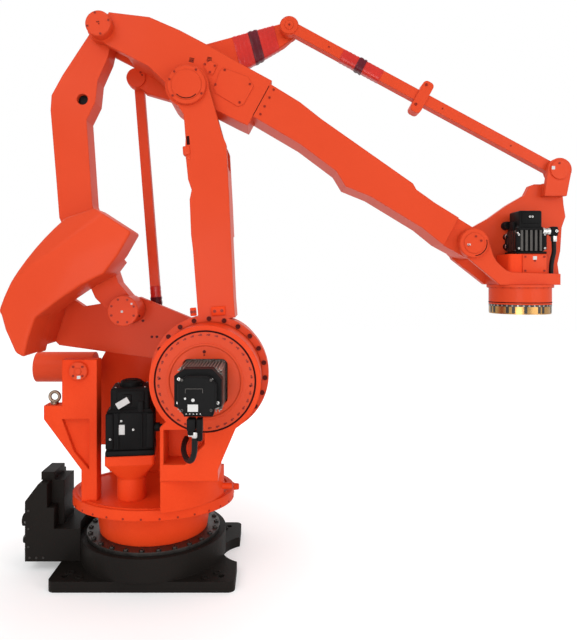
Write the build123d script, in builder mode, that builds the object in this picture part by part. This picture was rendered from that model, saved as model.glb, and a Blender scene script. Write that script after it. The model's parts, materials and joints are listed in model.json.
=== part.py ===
from build123d import *
import math
import os

# Palletizing robot arm in millimetres: slew axis on Z, floor at zero, arm reaching along +X.
# Driving sizes of the linkage
shoulder_reach = 270
shoulder_height = 879
lower_arm_length = 1275
lower_arm_lean = 4.5
forearm_length = 1450
forearm_drop = 28.5
crank_length = 480
crank_angle = 144.8
lever_rear_length = 308
lever_rear_angle = 156.5
lever_front_length = 579
lever_front_angle = 37.8
tool_offset = 252
tool_drop = 318

# Clearances and the overrun of a through cut
running_gap = 5
pin_fit = 0.4
seat_gap = 0.3
overrun = 10

# Depth stations across the linkage, measured along Y from the slew axis, front at minus
cheek_front = -340
cheek_back = -155
arm_front = -150
arm_plate = 45
arm_core_back = 55
hub_back = -60
crank_back = 105
crank_plate = 45
link_half = 55
forearm_front = -100
forearm_back = 80
elbow_plate_back = 125
lever_back = 175
rod_back = 215
rear_cheek_front = 220
rear_cheek_back = 330


def reach(origin, length, angle):
    turn = math.radians(angle)
    return Vector(origin.X + length * math.cos(turn), 0, origin.Z + length * math.sin(turn))


shoulder = Vector(shoulder_reach, 0, shoulder_height)
arm_angle = 90 + lower_arm_lean
elbow = reach(shoulder, lower_arm_length, arm_angle)
wrist = reach(elbow, forearm_length, -forearm_drop)
crank_pin = reach(shoulder, crank_length, crank_angle)
fork_pin = reach(elbow, crank_length, crank_angle)
rod_foot = reach(shoulder, lever_rear_length, lever_rear_angle)
rod_head = reach(elbow, lever_rear_length, lever_rear_angle)
link_foot = reach(elbow, lever_front_length, lever_front_angle)
link_head = reach(wrist, lever_front_length, lever_front_angle)
tool_x = wrist.X + tool_offset
tool_z = wrist.Z - tool_drop


# A plane facing the front, with its drawing seen from the front and its back at a depth station
def front_plane(back):
    return Plane.XZ.offset(-back)


# The same, with its x direction turned along a member and its origin on the member's pivot
def member_plane(origin, angle, back):
    turn = math.radians(angle)
    along = (math.cos(turn), 0, math.sin(turn))
    return Plane(origin=(origin.X, back, origin.Z), x_dir=along, z_dir=(0, -1, 0))


def scaled(shares, length, width):
    return [(along * length, across * width) for along, across in shares]


# A closed outline, drawn on a plane and pulled towards the front
def plate(plane, points, depth, corner=0, mode=Mode.ADD):
    with BuildSketch(plane) as profile:
        with BuildLine():
            Polyline(*points, close=True)
        make_face()
        if corner:
            fillet(profile.vertices(), corner)
    extrude(profile.sketch, amount=depth, mode=mode)


def disc(plane, radius, depth, place=(0, 0), mode=Mode.ADD):
    with BuildSketch(plane) as profile:
        with Locations(place):
            Circle(radius)
    extrude(profile.sketch, amount=depth, mode=mode)


# A disc about a pivot, between two depth stations
def boss(pivot, radius, front, back, mode=Mode.ADD):
    disc(member_plane(pivot, 0, back), radius, back - front, mode=mode)


# A round hole about a pivot, right through between two depth stations
def bore(pivot, radius, front, back):
    boss(pivot, radius, front - overrun, back + overrun, mode=Mode.SUBTRACT)


def box_between(low, high, mode=Mode.ADD):
    size = [b - a for a, b in zip(low, high)]
    middle = [(a + b) / 2 for a, b in zip(low, high)]
    with Locations(tuple(middle)):
        Box(*size, mode=mode)


os.makedirs("parts", exist_ok=True)


def save(piece, name):
    piece.part.label = name
    export_step(piece.part, f"parts/{name}.step")


# Each bend of a cable is as wide as its two runs allow
cable_bend_share = 0.45


def bend_radii(points):
    radii = []
    for before, corner, after in zip(points, points[1:], points[2:]):
        run, next_run = corner - before, after - corner
        turn = math.radians(run.get_angle(next_run))
        radii.append(cable_bend_share * min(run.length, next_run.length) / math.tan(turn / 2))
    return radii


def cable(points, radius):
    radii = bend_radii(points)
    print("cable bends", [round(bend) for bend in radii])
    with BuildLine() as route:
        FilletPolyline(*points, radius=radii)
    with BuildSketch(Plane(origin=points[0], z_dir=points[1] - points[0])) as section:
        Circle(radius)
    sweep(section.sketch, path=route.line)


# Base: a foot with four ears, a round drum and the slewing ring on it
foot_length = 780
foot_width = 628
foot_thickness = 45
foot_hole_radius = 14
foot_hole_x = 330
foot_hole_y = 262
foot_waist_radius = 150
foot_waist_x = foot_length / 2 + foot_waist_radius / 2
drum_radius = 330
drum_top = 145
ring_radius = 302
base_top = 160
ear_corner = 30

with BuildPart() as base_casting:
    with BuildSketch(Plane.XY) as foot:
        Rectangle(foot_length, foot_width)
        fillet(foot.vertices(), ear_corner)
        with Locations((foot_waist_x, 0), (-foot_waist_x, 0)):
            Circle(foot_waist_radius, mode=Mode.SUBTRACT)
    extrude(amount=foot_thickness)
    with BuildSketch(Plane.XY.offset(foot_thickness)):
        Circle(drum_radius)
    extrude(amount=drum_top - foot_thickness)
    with Locations((0, 0, foot_thickness)):
        with GridLocations(2 * foot_hole_x, 2 * foot_hole_y, 2, 2):
            Hole(foot_hole_radius)
save(base_casting, "base_casting")

with BuildPart() as slew_ring:
    with BuildSketch(Plane.XY.offset(drum_top)):
        Circle(ring_radius)
    extrude(amount=base_top - drum_top)
save(slew_ring, "slew_ring")

# Cable box on the back of the base, stepped at the front and higher behind
box_left = -551
box_right = -262
box_half_depth = 130
box_bottom = foot_thickness + seat_gap
box_high_top = 388
box_high_right = -453
box_middle_top = 284
box_middle_right = -422
box_low_top = 190
box_slope_left = -493
box_slope_bottom = 311
box_inner_half_depth = 70
box_inner_right = -396
cable_port_left = -500
cable_port_right = -440
cable_port_top = 424

with BuildPart() as cable_box:
    plate(
        front_plane(box_half_depth),
        [
            (box_left, box_bottom),
            (box_right, box_bottom),
            (box_right, box_low_top),
            (box_middle_right, box_low_top),
            (box_middle_right, box_middle_top),
            (box_high_right, box_middle_top),
            (box_high_right, box_high_top),
            (box_slope_left, box_high_top),
            (box_left, box_slope_bottom),
        ],
        2 * box_half_depth,
    )
    box_between(
        (box_high_right, -box_inner_half_depth, box_low_top),
        (box_inner_right, box_inner_half_depth, box_high_top),
    )
    box_between(
        (cable_port_left, -box_inner_half_depth, box_high_top),
        (cable_port_right, box_inner_half_depth, cable_port_top),
    )
    disc(Plane.XY.offset(box_bottom - overrun), drum_radius + seat_gap, box_high_top, mode=Mode.SUBTRACT)
save(cable_box, "cable_box")

# Turret: a turned skirt and an oval deck that turns on the slewing ring
skirt_bottom = base_top + seat_gap
skirt_bottom_radius = 245
skirt_top_radius = 263
deck_bottom = 290
deck_top = 335
deck_half_length = 368
deck_half_width = 305

with BuildPart() as turntable:
    with BuildSketch(Plane.XZ) as skirt:
        with BuildLine():
            Polyline(
                (0, skirt_bottom),
                (skirt_bottom_radius, skirt_bottom),
                (skirt_top_radius, deck_bottom),
                (0, deck_bottom),
                close=True,
            )
        make_face()
    revolve(axis=Axis.Z)
    with BuildSketch(Plane.XY.offset(deck_bottom)):
        Ellipse(deck_half_length, deck_half_width)
    extrude(amount=deck_top - deck_bottom)
save(turntable, "turntable")

# Front cheek: round head about the shoulder, web down to the deck, pocket for the cover and a cable window
head_radius = 230
cover_radius = 205
cover_gap = 3
cover_depth = 60
web_left = 85
web_right = 397
web_right_top = 689
web_waist = 323
web_waist_height = 517
cheek_drum_radius = 345
cheek_drum_top = 470
cheek_drum_back = -100
window_left = 100
window_right = 268
window_top = 680
window_bottom = 538
window_corner = 188
window_slope = 620
window_depth = 120
peg_radius = 14
peg_reach = 368
peg_y = -110
peg_rise = 40

with BuildPart() as front_cheek:
    boss(shoulder, head_radius, cheek_front, cheek_back)
    boss(shoulder, cover_radius, cheek_back, arm_front - seat_gap)
    plate(
        front_plane(cheek_back),
        [
            (web_left, cheek_drum_top),
            (web_waist, cheek_drum_top),
            (web_waist, web_waist_height),
            (web_right, web_right_top),
            (shoulder_reach, shoulder_height),
            (web_left, web_right_top),
        ],
        cheek_back - cheek_front,
    )
    with BuildSketch(Plane.XY.offset(deck_top)) as drum:
        Circle(cheek_drum_radius)
        with Locations((web_left, -cheek_drum_radius)):
            Rectangle(
                2 * cheek_drum_radius,
                cheek_drum_radius + cheek_drum_back,
                align=(Align.MIN, Align.MIN),
                mode=Mode.INTERSECT,
            )
    extrude(amount=cheek_drum_top - deck_top)
    boss(shoulder, cover_radius + cover_gap, cheek_front, cheek_front + cover_depth, mode=Mode.SUBTRACT)
    plate(
        front_plane(cheek_front + window_depth),
        [
            (window_left, window_bottom),
            (window_corner, window_bottom),
            (window_right, window_slope),
            (window_right, window_top),
            (window_left, window_top),
        ],
        window_depth,
        mode=Mode.SUBTRACT,
    )
    with BuildSketch(Plane(origin=(peg_reach, peg_y, deck_top + peg_rise), z_dir=(-1, 0, 0))):
        Circle(peg_radius)
    extrude(amount=peg_reach - cheek_drum_radius / 2)
save(front_cheek, "front_cheek")

# Covers that close the two shoulder drives, each with a square opening for its motor
opening_half = 92
opening_corner = 24
motor_side = 176
motor_length = 360
motor_corner = 16


def drive_cover(front, back):
    disc(member_plane(shoulder, 0, back), cover_radius, back - front)
    with BuildSketch(member_plane(shoulder, 0, back)) as opening:
        RectangleRounded(2 * opening_half, 2 * opening_half, opening_corner)
    extrude(opening.sketch, amount=back - front, mode=Mode.SUBTRACT)


with BuildPart() as shoulder_cover:
    drive_cover(cheek_front, cheek_front + cover_depth - seat_gap)
save(shoulder_cover, "shoulder_cover")


# Servo motor body on the shoulder's axis, between two depth stations
def servo_body(front, back):
    with BuildSketch(member_plane(shoulder, 0, back)) as body:
        RectangleRounded(motor_side, motor_side, motor_corner)
    extrude(body.sketch, amount=back - front)


with BuildPart() as shoulder_motor:
    servo_body(cheek_front + cover_depth - seat_gap - motor_length, cheek_front + cover_depth - seat_gap)
save(shoulder_motor, "shoulder_motor")

# Cable from the shoulder motor's plug down into the cheek's window
plug_width = 58
plug_depth = 46
plug_height = 62
plug_inset = 8
plug_side = 50
lead_radius = 11
lead_sag = 126
plug_left = shoulder_reach - motor_side / 2 + plug_side
plug_front = cheek_front + cover_depth - motor_length + plug_inset
plug_top = shoulder_height - motor_side / 2 - seat_gap
plug_bottom = plug_top - plug_height
lead_start = Vector(plug_left + plug_width / 2, plug_front + plug_depth / 2, plug_bottom - seat_gap)
lead_run = cheek_front + window_depth - seat_gap - lead_start.Y
shoulder_lead_shares = [
    (0, 0, 0),
    (0, 0, -0.45),
    (-0.10, 0.08, -0.80),
    (-0.30, 0.27, -1.02),
    (-0.52, 0.505, -1.03),
    (-0.635, 0.69, -0.97),
    (-0.667, 0.88, -0.9),
    (-0.667, 1.0, -0.9),
]
shoulder_lead_route = [
    lead_start + Vector(x * lead_sag, y * lead_run, z * lead_sag) for x, y, z in shoulder_lead_shares
]

with BuildPart() as shoulder_plug:
    box_between(
        (plug_left, plug_front, plug_bottom),
        (plug_left + plug_width, plug_front + plug_depth, plug_top),
    )
save(shoulder_plug, "shoulder_plug")

with BuildPart() as shoulder_lead:
    cable(shoulder_lead_route, lead_radius)
save(shoulder_lead, "shoulder_lead")

# Rear cheek: plate behind the linkage, with the crank drive and the rod's fixed pivot on it
rear_left = -330
rear_left_top = 854
rear_shoulder_x = -249
rear_shoulder_z = 1004
rear_peak_x = -20
rear_peak_z = 1070
rear_drum_radius = 215
rear_drum_front = crank_back + seat_gap
rear_pocket_front = rear_cheek_back - cover_depth

with BuildPart() as rear_cheek:
    boss(shoulder, head_radius, rear_cheek_front, rear_cheek_back)
    boss(shoulder, rear_drum_radius, rear_drum_front, rear_cheek_front)
    plate(
        front_plane(rear_cheek_back),
        [
            (rear_left, cheek_drum_top),
            (web_waist, cheek_drum_top),
            (web_waist, web_waist_height),
            (web_right, web_right_top),
            (shoulder_reach, shoulder_height + head_radius),
            (rear_peak_x, rear_peak_z),
            (rear_shoulder_x, rear_shoulder_z),
            (rear_left, rear_left_top),
        ],
        rear_cheek_back - rear_cheek_front,
    )
    with BuildSketch(Plane.XY.offset(deck_top)) as rear_drum:
        Circle(cheek_drum_radius)
        with Locations((0, rear_cheek_front)):
            Rectangle(
                2 * cheek_drum_radius,
                cheek_drum_radius,
                align=(Align.CENTER, Align.MIN),
                mode=Mode.INTERSECT,
            )
    extrude(amount=cheek_drum_top - deck_top)
    boss(shoulder, cover_radius + cover_gap, rear_pocket_front, rear_cheek_back, mode=Mode.SUBTRACT)
save(rear_cheek, "rear_cheek")

with BuildPart() as crank_cover:
    drive_cover(rear_pocket_front + seat_gap, rear_cheek_back)
save(crank_cover, "crank_cover")

with BuildPart() as crank_motor:
    servo_body(rear_pocket_front + seat_gap, rear_pocket_front + seat_gap + motor_length)
save(crank_motor, "crank_motor")

# Fixed pivot of the levelling rod on the rear cheek
rod_pin_radius = 22
rod_pin_front = lever_back + seat_gap

with BuildPart() as rod_bracket:
    boss(rod_foot, rod_pin_radius, rod_pin_front, rear_cheek_front)
save(rod_bracket, "rod_bracket")

# Front post with its bearing cap and the shelf for the lifting eye
post_front = -190
post_back = -118
post_right = -215
post_left = -366
post_height = 613
shelf_reach = 79
shelf_rise = 414
shelf_thickness = 59
gusset_run = 67
gusset_rise = 136
post_cap_inset = 78
post_cap_drop = 48
post_cap_radius = 41
post_cap_depth = 12
recess_depth = 22
recess_share = 0.62
post_top = deck_top + post_height
shelf_height = deck_top + shelf_rise
shelf_left = post_left - shelf_reach
gusset_x = post_right - gusset_run
post_cap = Vector(post_right - post_cap_inset, 0, post_top - post_cap_drop)

with BuildPart() as front_post:
    plate(
        front_plane(post_back),
        [
            (post_right, deck_top),
            (post_right, post_top),
            (post_left, post_top),
            (post_left, shelf_height),
            (shelf_left, shelf_height),
            (shelf_left, shelf_height - shelf_thickness),
            (gusset_x, deck_top + gusset_rise),
            (gusset_x, deck_top),
        ],
        post_back - post_front,
    )
    boss(post_cap, post_cap_radius, post_front - post_cap_depth, post_front)
    plate(
        front_plane(post_front + recess_depth),
        [
            (post_left, shelf_height - shelf_thickness),
            (post_right - gusset_run / 2, shelf_height - shelf_thickness),
            (post_right - gusset_run / 2, deck_top + gusset_rise),
            (post_left + recess_share * (gusset_x - post_left), deck_top + gusset_rise + shelf_reach),
        ],
        recess_depth,
        mode=Mode.SUBTRACT,
    )
save(front_post, "front_post")

eye_inset = 35
eye_x = shelf_left + eye_inset
eye_y = (post_front + post_back) / 2
eye_outer = 28
eye_bar = 7
eye_collar_radius = 17
eye_collar_height = 10

with BuildPart() as lifting_eye:
    with BuildSketch(Plane.XY.offset(shelf_height)):
        with Locations((eye_x, eye_y)):
            Circle(eye_collar_radius)
    extrude(amount=eye_collar_height)
    with Locations(Location((eye_x, eye_y, shelf_height + eye_collar_height / 2 + eye_outer), (90, 0, 0))):
        Torus(eye_outer - eye_bar, eye_bar)
save(lifting_eye, "lifting_eye")

# Balancer housing behind the crank, carried by the rear cheek
balancer_left = -616
balancer_radius = 74
balancer_y = 200
balancer_z = 862

with BuildPart() as balancer_barrel:
    with BuildSketch(Plane(origin=(balancer_left, balancer_y, balancer_z), z_dir=(1, 0, 0))):
        Circle(balancer_radius)
    extrude(amount=rear_left - balancer_left)
save(balancer_barrel, "balancer_barrel")

# Slew motor on its funnel, standing on the deck
yaw_x = -75
yaw_y = -140
yaw_turn = 8
yaw_side = 200
yaw_body_height = 216
yaw_upper_height = 96
yaw_upper_side = 160
funnel_flange = 210
funnel_flange_height = 39
funnel_height = 75
funnel_stem_radius = 62
funnel_stem_height = 95
funnel_stem_top = deck_top + funnel_stem_height
funnel_flange_bottom = funnel_stem_top + funnel_height
yaw_bottom = funnel_flange_bottom + funnel_flange_height
yaw_shoulder = yaw_bottom + yaw_body_height
yaw_top = yaw_shoulder + yaw_upper_height

with BuildPart() as yaw_pedestal:
    with BuildSketch(Plane.XY.offset(deck_top)):
        with Locations((yaw_x, yaw_y)):
            Circle(funnel_stem_radius)
    extrude(amount=funnel_stem_top - deck_top)
    with BuildSketch(Plane.XY.offset(funnel_stem_top)):
        with Locations((yaw_x, yaw_y)):
            Circle(funnel_stem_radius)
    with BuildSketch(Plane.XY.offset(funnel_flange_bottom)):
        with Locations(Location((yaw_x, yaw_y, 0), (0, 0, yaw_turn))):
            RectangleRounded(funnel_flange, funnel_flange, motor_corner)
    loft()
    with BuildSketch(Plane.XY.offset(funnel_flange_bottom)):
        with Locations(Location((yaw_x, yaw_y, 0), (0, 0, yaw_turn))):
            RectangleRounded(funnel_flange, funnel_flange, motor_corner)
    extrude(amount=yaw_bottom - funnel_flange_bottom)
save(yaw_pedestal, "yaw_pedestal")

with BuildPart() as yaw_motor:
    with BuildSketch(Plane.XY.offset(yaw_bottom)):
        with Locations(Location((yaw_x, yaw_y, 0), (0, 0, yaw_turn))):
            RectangleRounded(yaw_side, yaw_side, motor_corner)
    extrude(amount=yaw_shoulder - yaw_bottom)
    with BuildSketch(Plane.XY.offset(yaw_shoulder)):
        with Locations(Location((yaw_x, yaw_y, 0), (0, 0, yaw_turn))):
            RectangleRounded(yaw_upper_side, yaw_upper_side, motor_corner)
    extrude(amount=yaw_top - yaw_shoulder)
save(yaw_motor, "yaw_motor")

# Conduit from the slew motor into the front cheek
conduit_y = -200
conduit_rise = 325
conduit_radius = 13
conduit_nut_radius = 19
conduit_left = 37
conduit_nut_length = 22

with BuildPart() as yaw_conduit:
    with BuildSketch(Plane(origin=(conduit_left, conduit_y, deck_top + conduit_rise), z_dir=(1, 0, 0))):
        Circle(conduit_nut_radius)
    extrude(amount=conduit_nut_length)
    with BuildSketch(Plane(origin=(conduit_left, conduit_y, deck_top + conduit_rise), z_dir=(1, 0, 0))):
        Circle(conduit_radius)
    extrude(amount=web_left - seat_gap - conduit_left)
save(yaw_conduit, "yaw_conduit")

# Lower arm: hub disc at the shoulder, box section, and a fork of two plates at the elbow
arm_width = 300
arm_hub_radius = 261
arm_left_shares = [
    (0.26, 0.10),
    (0.434, 0.10),
    (0.486, 0.11),
    (0.607, 0.09),
    (0.64, 0.05),
    (0.677, 0.09),
    (0.78, 0.10),
    (0.816, 0.08),
    (0.902, 0.08),
    (0.946, 0.18),
]
arm_right_shares = [
    (1.0, -0.31),
    (0.823, -0.46),
    (0.788, -0.51),
    (0.597, -0.49),
    (0.25, -0.44),
]
arm_root_share = 0.92
arm_core_end_share = 0.715
arm_rear_start_share = 0.48
elbow_head_radius = 96
elbow_pin_radius = 55
elbow_cap_radius = 86
elbow_cap_depth = 14

arm_left = scaled(arm_left_shares, lower_arm_length, arm_width)
arm_right = scaled(arm_right_shares, lower_arm_length, arm_width)
arm_root = arm_root_share * arm_hub_radius
arm_sides = [(arm_root, arm_right[-1][1]), (arm_root, arm_left[0][1]), *arm_left, *arm_right]
arm_end = lower_arm_length + elbow_head_radius
arm_core_end = arm_core_end_share * lower_arm_length
arm_rear_start = arm_rear_start_share * lower_arm_length


# The arm's outline between two distances from the shoulder
def arm_slice(back, front, start, end):
    with BuildSketch(member_plane(shoulder, arm_angle, back)) as profile:
        with BuildLine():
            Polyline(*arm_sides, close=True)
        make_face()
        with Locations((lower_arm_length, 0)):
            Circle(elbow_head_radius)
        with Locations((start, -arm_width)):
            Rectangle(
                end - start,
                2 * arm_width,
                align=(Align.MIN, Align.MIN),
                mode=Mode.INTERSECT,
            )
    extrude(profile.sketch, amount=back - front)


with BuildPart() as lower_arm:
    boss(shoulder, arm_hub_radius, arm_front, hub_back)
    arm_slice(arm_front + arm_plate, arm_front, arm_root, arm_end)
    arm_slice(arm_core_back, arm_front, arm_root, arm_core_end)
    arm_slice(elbow_plate_back, arm_core_back, arm_rear_start, arm_core_end)
    arm_slice(elbow_plate_back, forearm_back + running_gap, arm_rear_start, arm_end)
    bore(elbow, elbow_pin_radius + seat_gap, arm_front, elbow_plate_back)
save(lower_arm, "lower_arm")

with BuildPart() as elbow_pin:
    boss(elbow, elbow_pin_radius, arm_front, lever_back + seat_gap)
    boss(elbow, elbow_cap_radius, arm_front - elbow_cap_depth, arm_front)
save(elbow_pin, "elbow_pin")

# Crank: hub, arm to the rear link's pin and on to the counterweight
crank_hub_radius = 180
crank_hub_front = hub_back + running_gap
crank_end_radius = 70
crank_pin_radius = 30
crank_front = crank_back - crank_plate
weight_front = -320
weight_back = -65
weight_radius = 903
weight_chamfer = 14
weight_inner_shares = [
    (-10.0, 1.12),
    (-13.5, 1.0),
    (-21.8, 0.947),
    (-28.2, 0.762),
    (-19.9, 0.702),
    (-11.2, 0.676),
    (-2.0, 0.72),
    (6.0, 0.764),
    (15.0, 0.831),
    (21.5, 0.834),
    (28.0, 0.839),
    (26.9, 0.88),
    (21.0, 0.946),
    (17.4, 0.983),
    (13.0, 1.10),
]
weight_relief_shares = [(-17.0, 0.55), (-17.0, 1.2), (-40.0, 1.2), (-40.0, 0.55)]
weight_facet_shares = [(-21.9, 0.925), (-4.5, 1.005)]
weight_facet_slope = 40
crank_tail_shares = [(10.0, 0.753), (8.0, 0.975), (22.0, 0.93), (27.0, 0.82)]
crank_block_shares = [(9.0, 0.842), (9.0, 0.975), (22.0, 0.93), (26.0, 0.842)]


# Points about the shoulder, given by an angle from the crank and a share of the weight's radius
def about_crank(shares):
    spots = [(math.radians(angle), weight_radius * out) for angle, out in shares]
    return [(out * math.cos(turn), out * math.sin(turn)) for turn, out in spots]


with BuildPart() as crank_arm:
    boss(shoulder, crank_hub_radius, crank_hub_front, crank_back)
    plate(
        member_plane(shoulder, crank_angle, crank_back),
        [
            (0, -crank_hub_radius),
            (crank_length, -crank_end_radius),
            (crank_length + crank_end_radius, 0),
            *about_crank(crank_tail_shares),
            (crank_hub_radius, crank_hub_radius / 2),
            (0, crank_hub_radius),
        ],
        crank_plate,
    )
    plate(
        member_plane(shoulder, crank_angle, crank_front),
        about_crank(crank_block_shares),
        crank_front - weight_back - seat_gap,
    )
    bore(crank_pin, crank_pin_radius + pin_fit, crank_front, crank_back)
save(crank_arm, "crank_arm")

# The facet that takes off the weight's upper front corner, through two points of its front face
facet_start, facet_end = [Vector(*place) for place in about_crank(weight_facet_shares)]
facet_run = (facet_end - facet_start).normalized()
facet_tilt = math.radians(weight_facet_slope)
weight_front_plane = member_plane(shoulder, crank_angle, weight_front)
facet_normal = (
    weight_front_plane.x_dir * facet_run.Y * math.cos(facet_tilt)
    - weight_front_plane.y_dir * facet_run.X * math.cos(facet_tilt)
    + weight_front_plane.z_dir * math.sin(facet_tilt)
)
facet_plane = Plane(origin=weight_front_plane.from_local_coords(facet_start), z_dir=facet_normal)

with BuildPart() as counterweight:
    with BuildSketch(member_plane(shoulder, crank_angle, weight_back)) as weight:
        with BuildLine():
            Polyline(*about_crank(weight_inner_shares), close=True)
        make_face()
        Circle(weight_radius, mode=Mode.INTERSECT)
    extrude(weight.sketch, amount=weight_back - weight_front)
    plate(
        member_plane(shoulder, crank_angle, weight_back + overrun),
        about_crank(weight_relief_shares),
        weight_back + overrun - (arm_front - running_gap),
        mode=Mode.SUBTRACT,
    )
    split(bisect_by=facet_plane, keep=Keep.BOTTOM)
    chamfer(counterweight.faces().sort_by(Axis.Y)[0].edges(), weight_chamfer)
save(counterweight, "counterweight")

# Pin between crank and rear link
link_boss_front = -100
link_pin_head = 8

with BuildPart() as link_pin:
    boss(crank_pin, crank_pin_radius, link_boss_front - link_pin_head, crank_back)
    boss(crank_pin, crank_end_radius - pin_fit, link_boss_front - link_pin_head, link_boss_front - seat_gap)
save(link_pin, "link_pin")

# Rear link, bowed to the back between its two eyes
link_width = 140
link_left_shares = [
    (0.0, 0.55),
    (0.053, 0.95),
    (0.348, 1.91),
    (0.484, 1.91),
    (0.734, 1.92),
    (0.787, 1.85),
    (0.855, 1.445),
    (1.0, 0.42),
]
link_right_shares = [
    (1.0, -0.40),
    (0.949, -0.185),
    (0.904, -0.06),
    (0.827, 0.32),
    (0.75, 0.45),
    (0.689, 0.78),
    (0.385, 0.81),
    (0.10, 0.16),
    (0.0, -0.5),
]
link_hole_share = 0.764
link_hole_side_share = 0.86
link_hole_radius = 25
link_eye_radius = 60
link_boss_radius = 68

with BuildPart() as rear_link:
    plate(
        member_plane(crank_pin, arm_angle, link_half),
        scaled(link_left_shares, lower_arm_length, link_width)
        + scaled(link_right_shares, lower_arm_length, link_width),
        2 * link_half,
    )
    boss(crank_pin, link_boss_radius, link_boss_front, link_half)
    boss(fork_pin, link_eye_radius, -link_half, link_half)
    bore(crank_pin, crank_pin_radius + pin_fit, link_boss_front, link_half)
    bore(fork_pin, crank_pin_radius + pin_fit, -link_half, link_half)
    disc(
        member_plane(crank_pin, arm_angle, link_half + overrun),
        link_hole_radius,
        2 * (link_half + overrun),
        (link_hole_share * lower_arm_length, link_hole_side_share * link_width),
        mode=Mode.SUBTRACT,
    )
save(rear_link, "rear_link")

# Forearm: knuckle with a rear fork, and a box beam bolted to it
forearm_width = 280
forearm_top_shares = [
    (1.0, 0.235),
    (0.836, 0.285),
    (0.768, 0.33),
    (0.75, 0.389),
    (0.406, 0.596),
    (0.323, 0.67),
    (0.215, 0.70),
]
knuckle_top_shares = [
    (0.215, 0.757),
    (0.085, 0.758),
    (-0.023, 0.768),
    (-0.11, 0.762),
    (-0.212, 0.716),
    (-0.329, 0.476),
]
knuckle_bottom_shares = [
    (-0.345, 0.05),
    (-0.288, 0.0),
    (-0.144, 0.02),
    (-0.062, -0.1),
    (0.0, -0.33),
    (0.05, -0.2),
    (0.084, -0.084),
    (0.182, -0.071),
    (0.215, -0.06),
]
forearm_bottom_shares = [
    (0.215, 0.11),
    (0.386, 0.08),
    (0.524, -0.025),
    (0.571, -0.166),
    (0.655, -0.118),
    (0.84, -0.165),
    (0.918, -0.24),
    (1.0, -0.24),
]
fork_slot_depth = 165
fork_head_radius = 62
wrist_eye_radius = 66
wrist_eye_front = -83
wrist_end_share = 0.925
wrist_pin_radius = 34

with BuildPart() as forearm_knuckle:
    with BuildSketch(member_plane(elbow, -forearm_drop, forearm_back)) as knuckle:
        with BuildLine():
            Polyline(
                *scaled(knuckle_top_shares, forearm_length, forearm_width),
                *scaled(knuckle_bottom_shares, forearm_length, forearm_width),
                close=True,
            )
        make_face()
        Circle(elbow_head_radius)
    extrude(knuckle.sketch, amount=forearm_back - forearm_front)
    boss(fork_pin, fork_head_radius, forearm_front, forearm_back)
    with BuildSketch(member_plane(fork_pin, crank_angle - 180, link_half + running_gap)) as slot:
        with Locations((fork_slot_depth, 0)):
            Rectangle(2 * forearm_width, 2 * forearm_width, align=(Align.MAX, Align.CENTER))
    extrude(slot.sketch, amount=2 * (link_half + running_gap), mode=Mode.SUBTRACT)
    bore(elbow, elbow_pin_radius + pin_fit, forearm_front, forearm_back)
    bore(fork_pin, crank_pin_radius + seat_gap, forearm_front, forearm_back)
save(forearm_knuckle, "forearm_knuckle")

# Covers on the front of the knuckle
knuckle_cover_shares = [
    (0.0600, 0.49),
    (0.0640, 0.565),
    (0.1439, 0.629),
    (0.1742, 0.541),
    (0.1730, 0.20),
    (0.1610, 0.13),
    (0.0820, 0.145),
    (0.0686, 0.206),
]
knuckle_cover_depth = 3.5
cable_plate_shares = [(0.004, 0.454), (0.0197, 0.571), (0.0447, 0.569), (0.0461, 0.38), (0.030, 0.36)]
cable_plate_depth = 3

with BuildPart() as knuckle_cover:
    plate(
        member_plane(elbow, -forearm_drop, forearm_front - seat_gap),
        scaled(knuckle_cover_shares, forearm_length, forearm_width),
        knuckle_cover_depth,
    )
save(knuckle_cover, "knuckle_cover")

with BuildPart() as cable_plate:
    plate(
        member_plane(elbow, -forearm_drop, forearm_front - seat_gap),
        scaled(cable_plate_shares, forearm_length, forearm_width),
        cable_plate_depth,
    )
save(cable_plate, "cable_plate")

with BuildPart() as forearm_beam:
    with BuildSketch(member_plane(elbow, -forearm_drop, forearm_back)) as beam:
        with BuildLine():
            Polyline(
                *scaled(forearm_top_shares, forearm_length, forearm_width),
                *scaled(forearm_bottom_shares, forearm_length, forearm_width),
                close=True,
            )
        make_face()
        with Locations((forearm_length, 0)):
            Circle(wrist_eye_radius)
    extrude(beam.sketch, amount=forearm_back - wrist_eye_front)
    with BuildSketch(member_plane(elbow, -forearm_drop, wrist_eye_front)) as beam_front:
        with BuildLine():
            Polyline(
                *scaled(forearm_top_shares, forearm_length, forearm_width),
                *scaled(forearm_bottom_shares, forearm_length, forearm_width),
                close=True,
            )
        make_face()
        with Locations((wrist_end_share * forearm_length, 0)):
            Rectangle(
                2 * forearm_length,
                2 * forearm_width,
                align=(Align.MAX, Align.CENTER),
                mode=Mode.INTERSECT,
            )
    extrude(beam_front.sketch, amount=wrist_eye_front - forearm_front)
    bore(wrist, wrist_pin_radius + pin_fit, forearm_front, forearm_back)
save(forearm_beam, "forearm_beam")

fork_cap_radius = 57
fork_cap_depth = 45

with BuildPart() as fork_bolt:
    boss(fork_pin, crank_pin_radius, forearm_front - seat_gap, forearm_back)
    boss(fork_pin, fork_cap_radius, forearm_front - fork_cap_depth, forearm_front - seat_gap)
save(fork_bolt, "fork_bolt")

# Levelling lever at the elbow, with pins for the rod and the upper link
lever_front = elbow_plate_back + running_gap
lever_head_radius = 98
lever_rear_radius = 48
lever_front_radius = 44
lever_pin_radius = 22
lever_root_half = 118
lever_root_share = 0.35
lever_arch_share = 0.463
lever_arch_rise = 12
rod_pin_head_front = 120
link_back = 120
link_front = 70

# The lever's arched upper edge runs between the tops of its rear and front eyes
lever_rear_top = rod_head - elbow + Vector(0, 0, lever_rear_radius)
lever_front_top = link_foot - elbow + Vector(0, 0, lever_front_radius)
lever_arch = lever_rear_top + (lever_front_top - lever_rear_top) * lever_arch_share + Vector(0, 0, lever_arch_rise)

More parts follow.
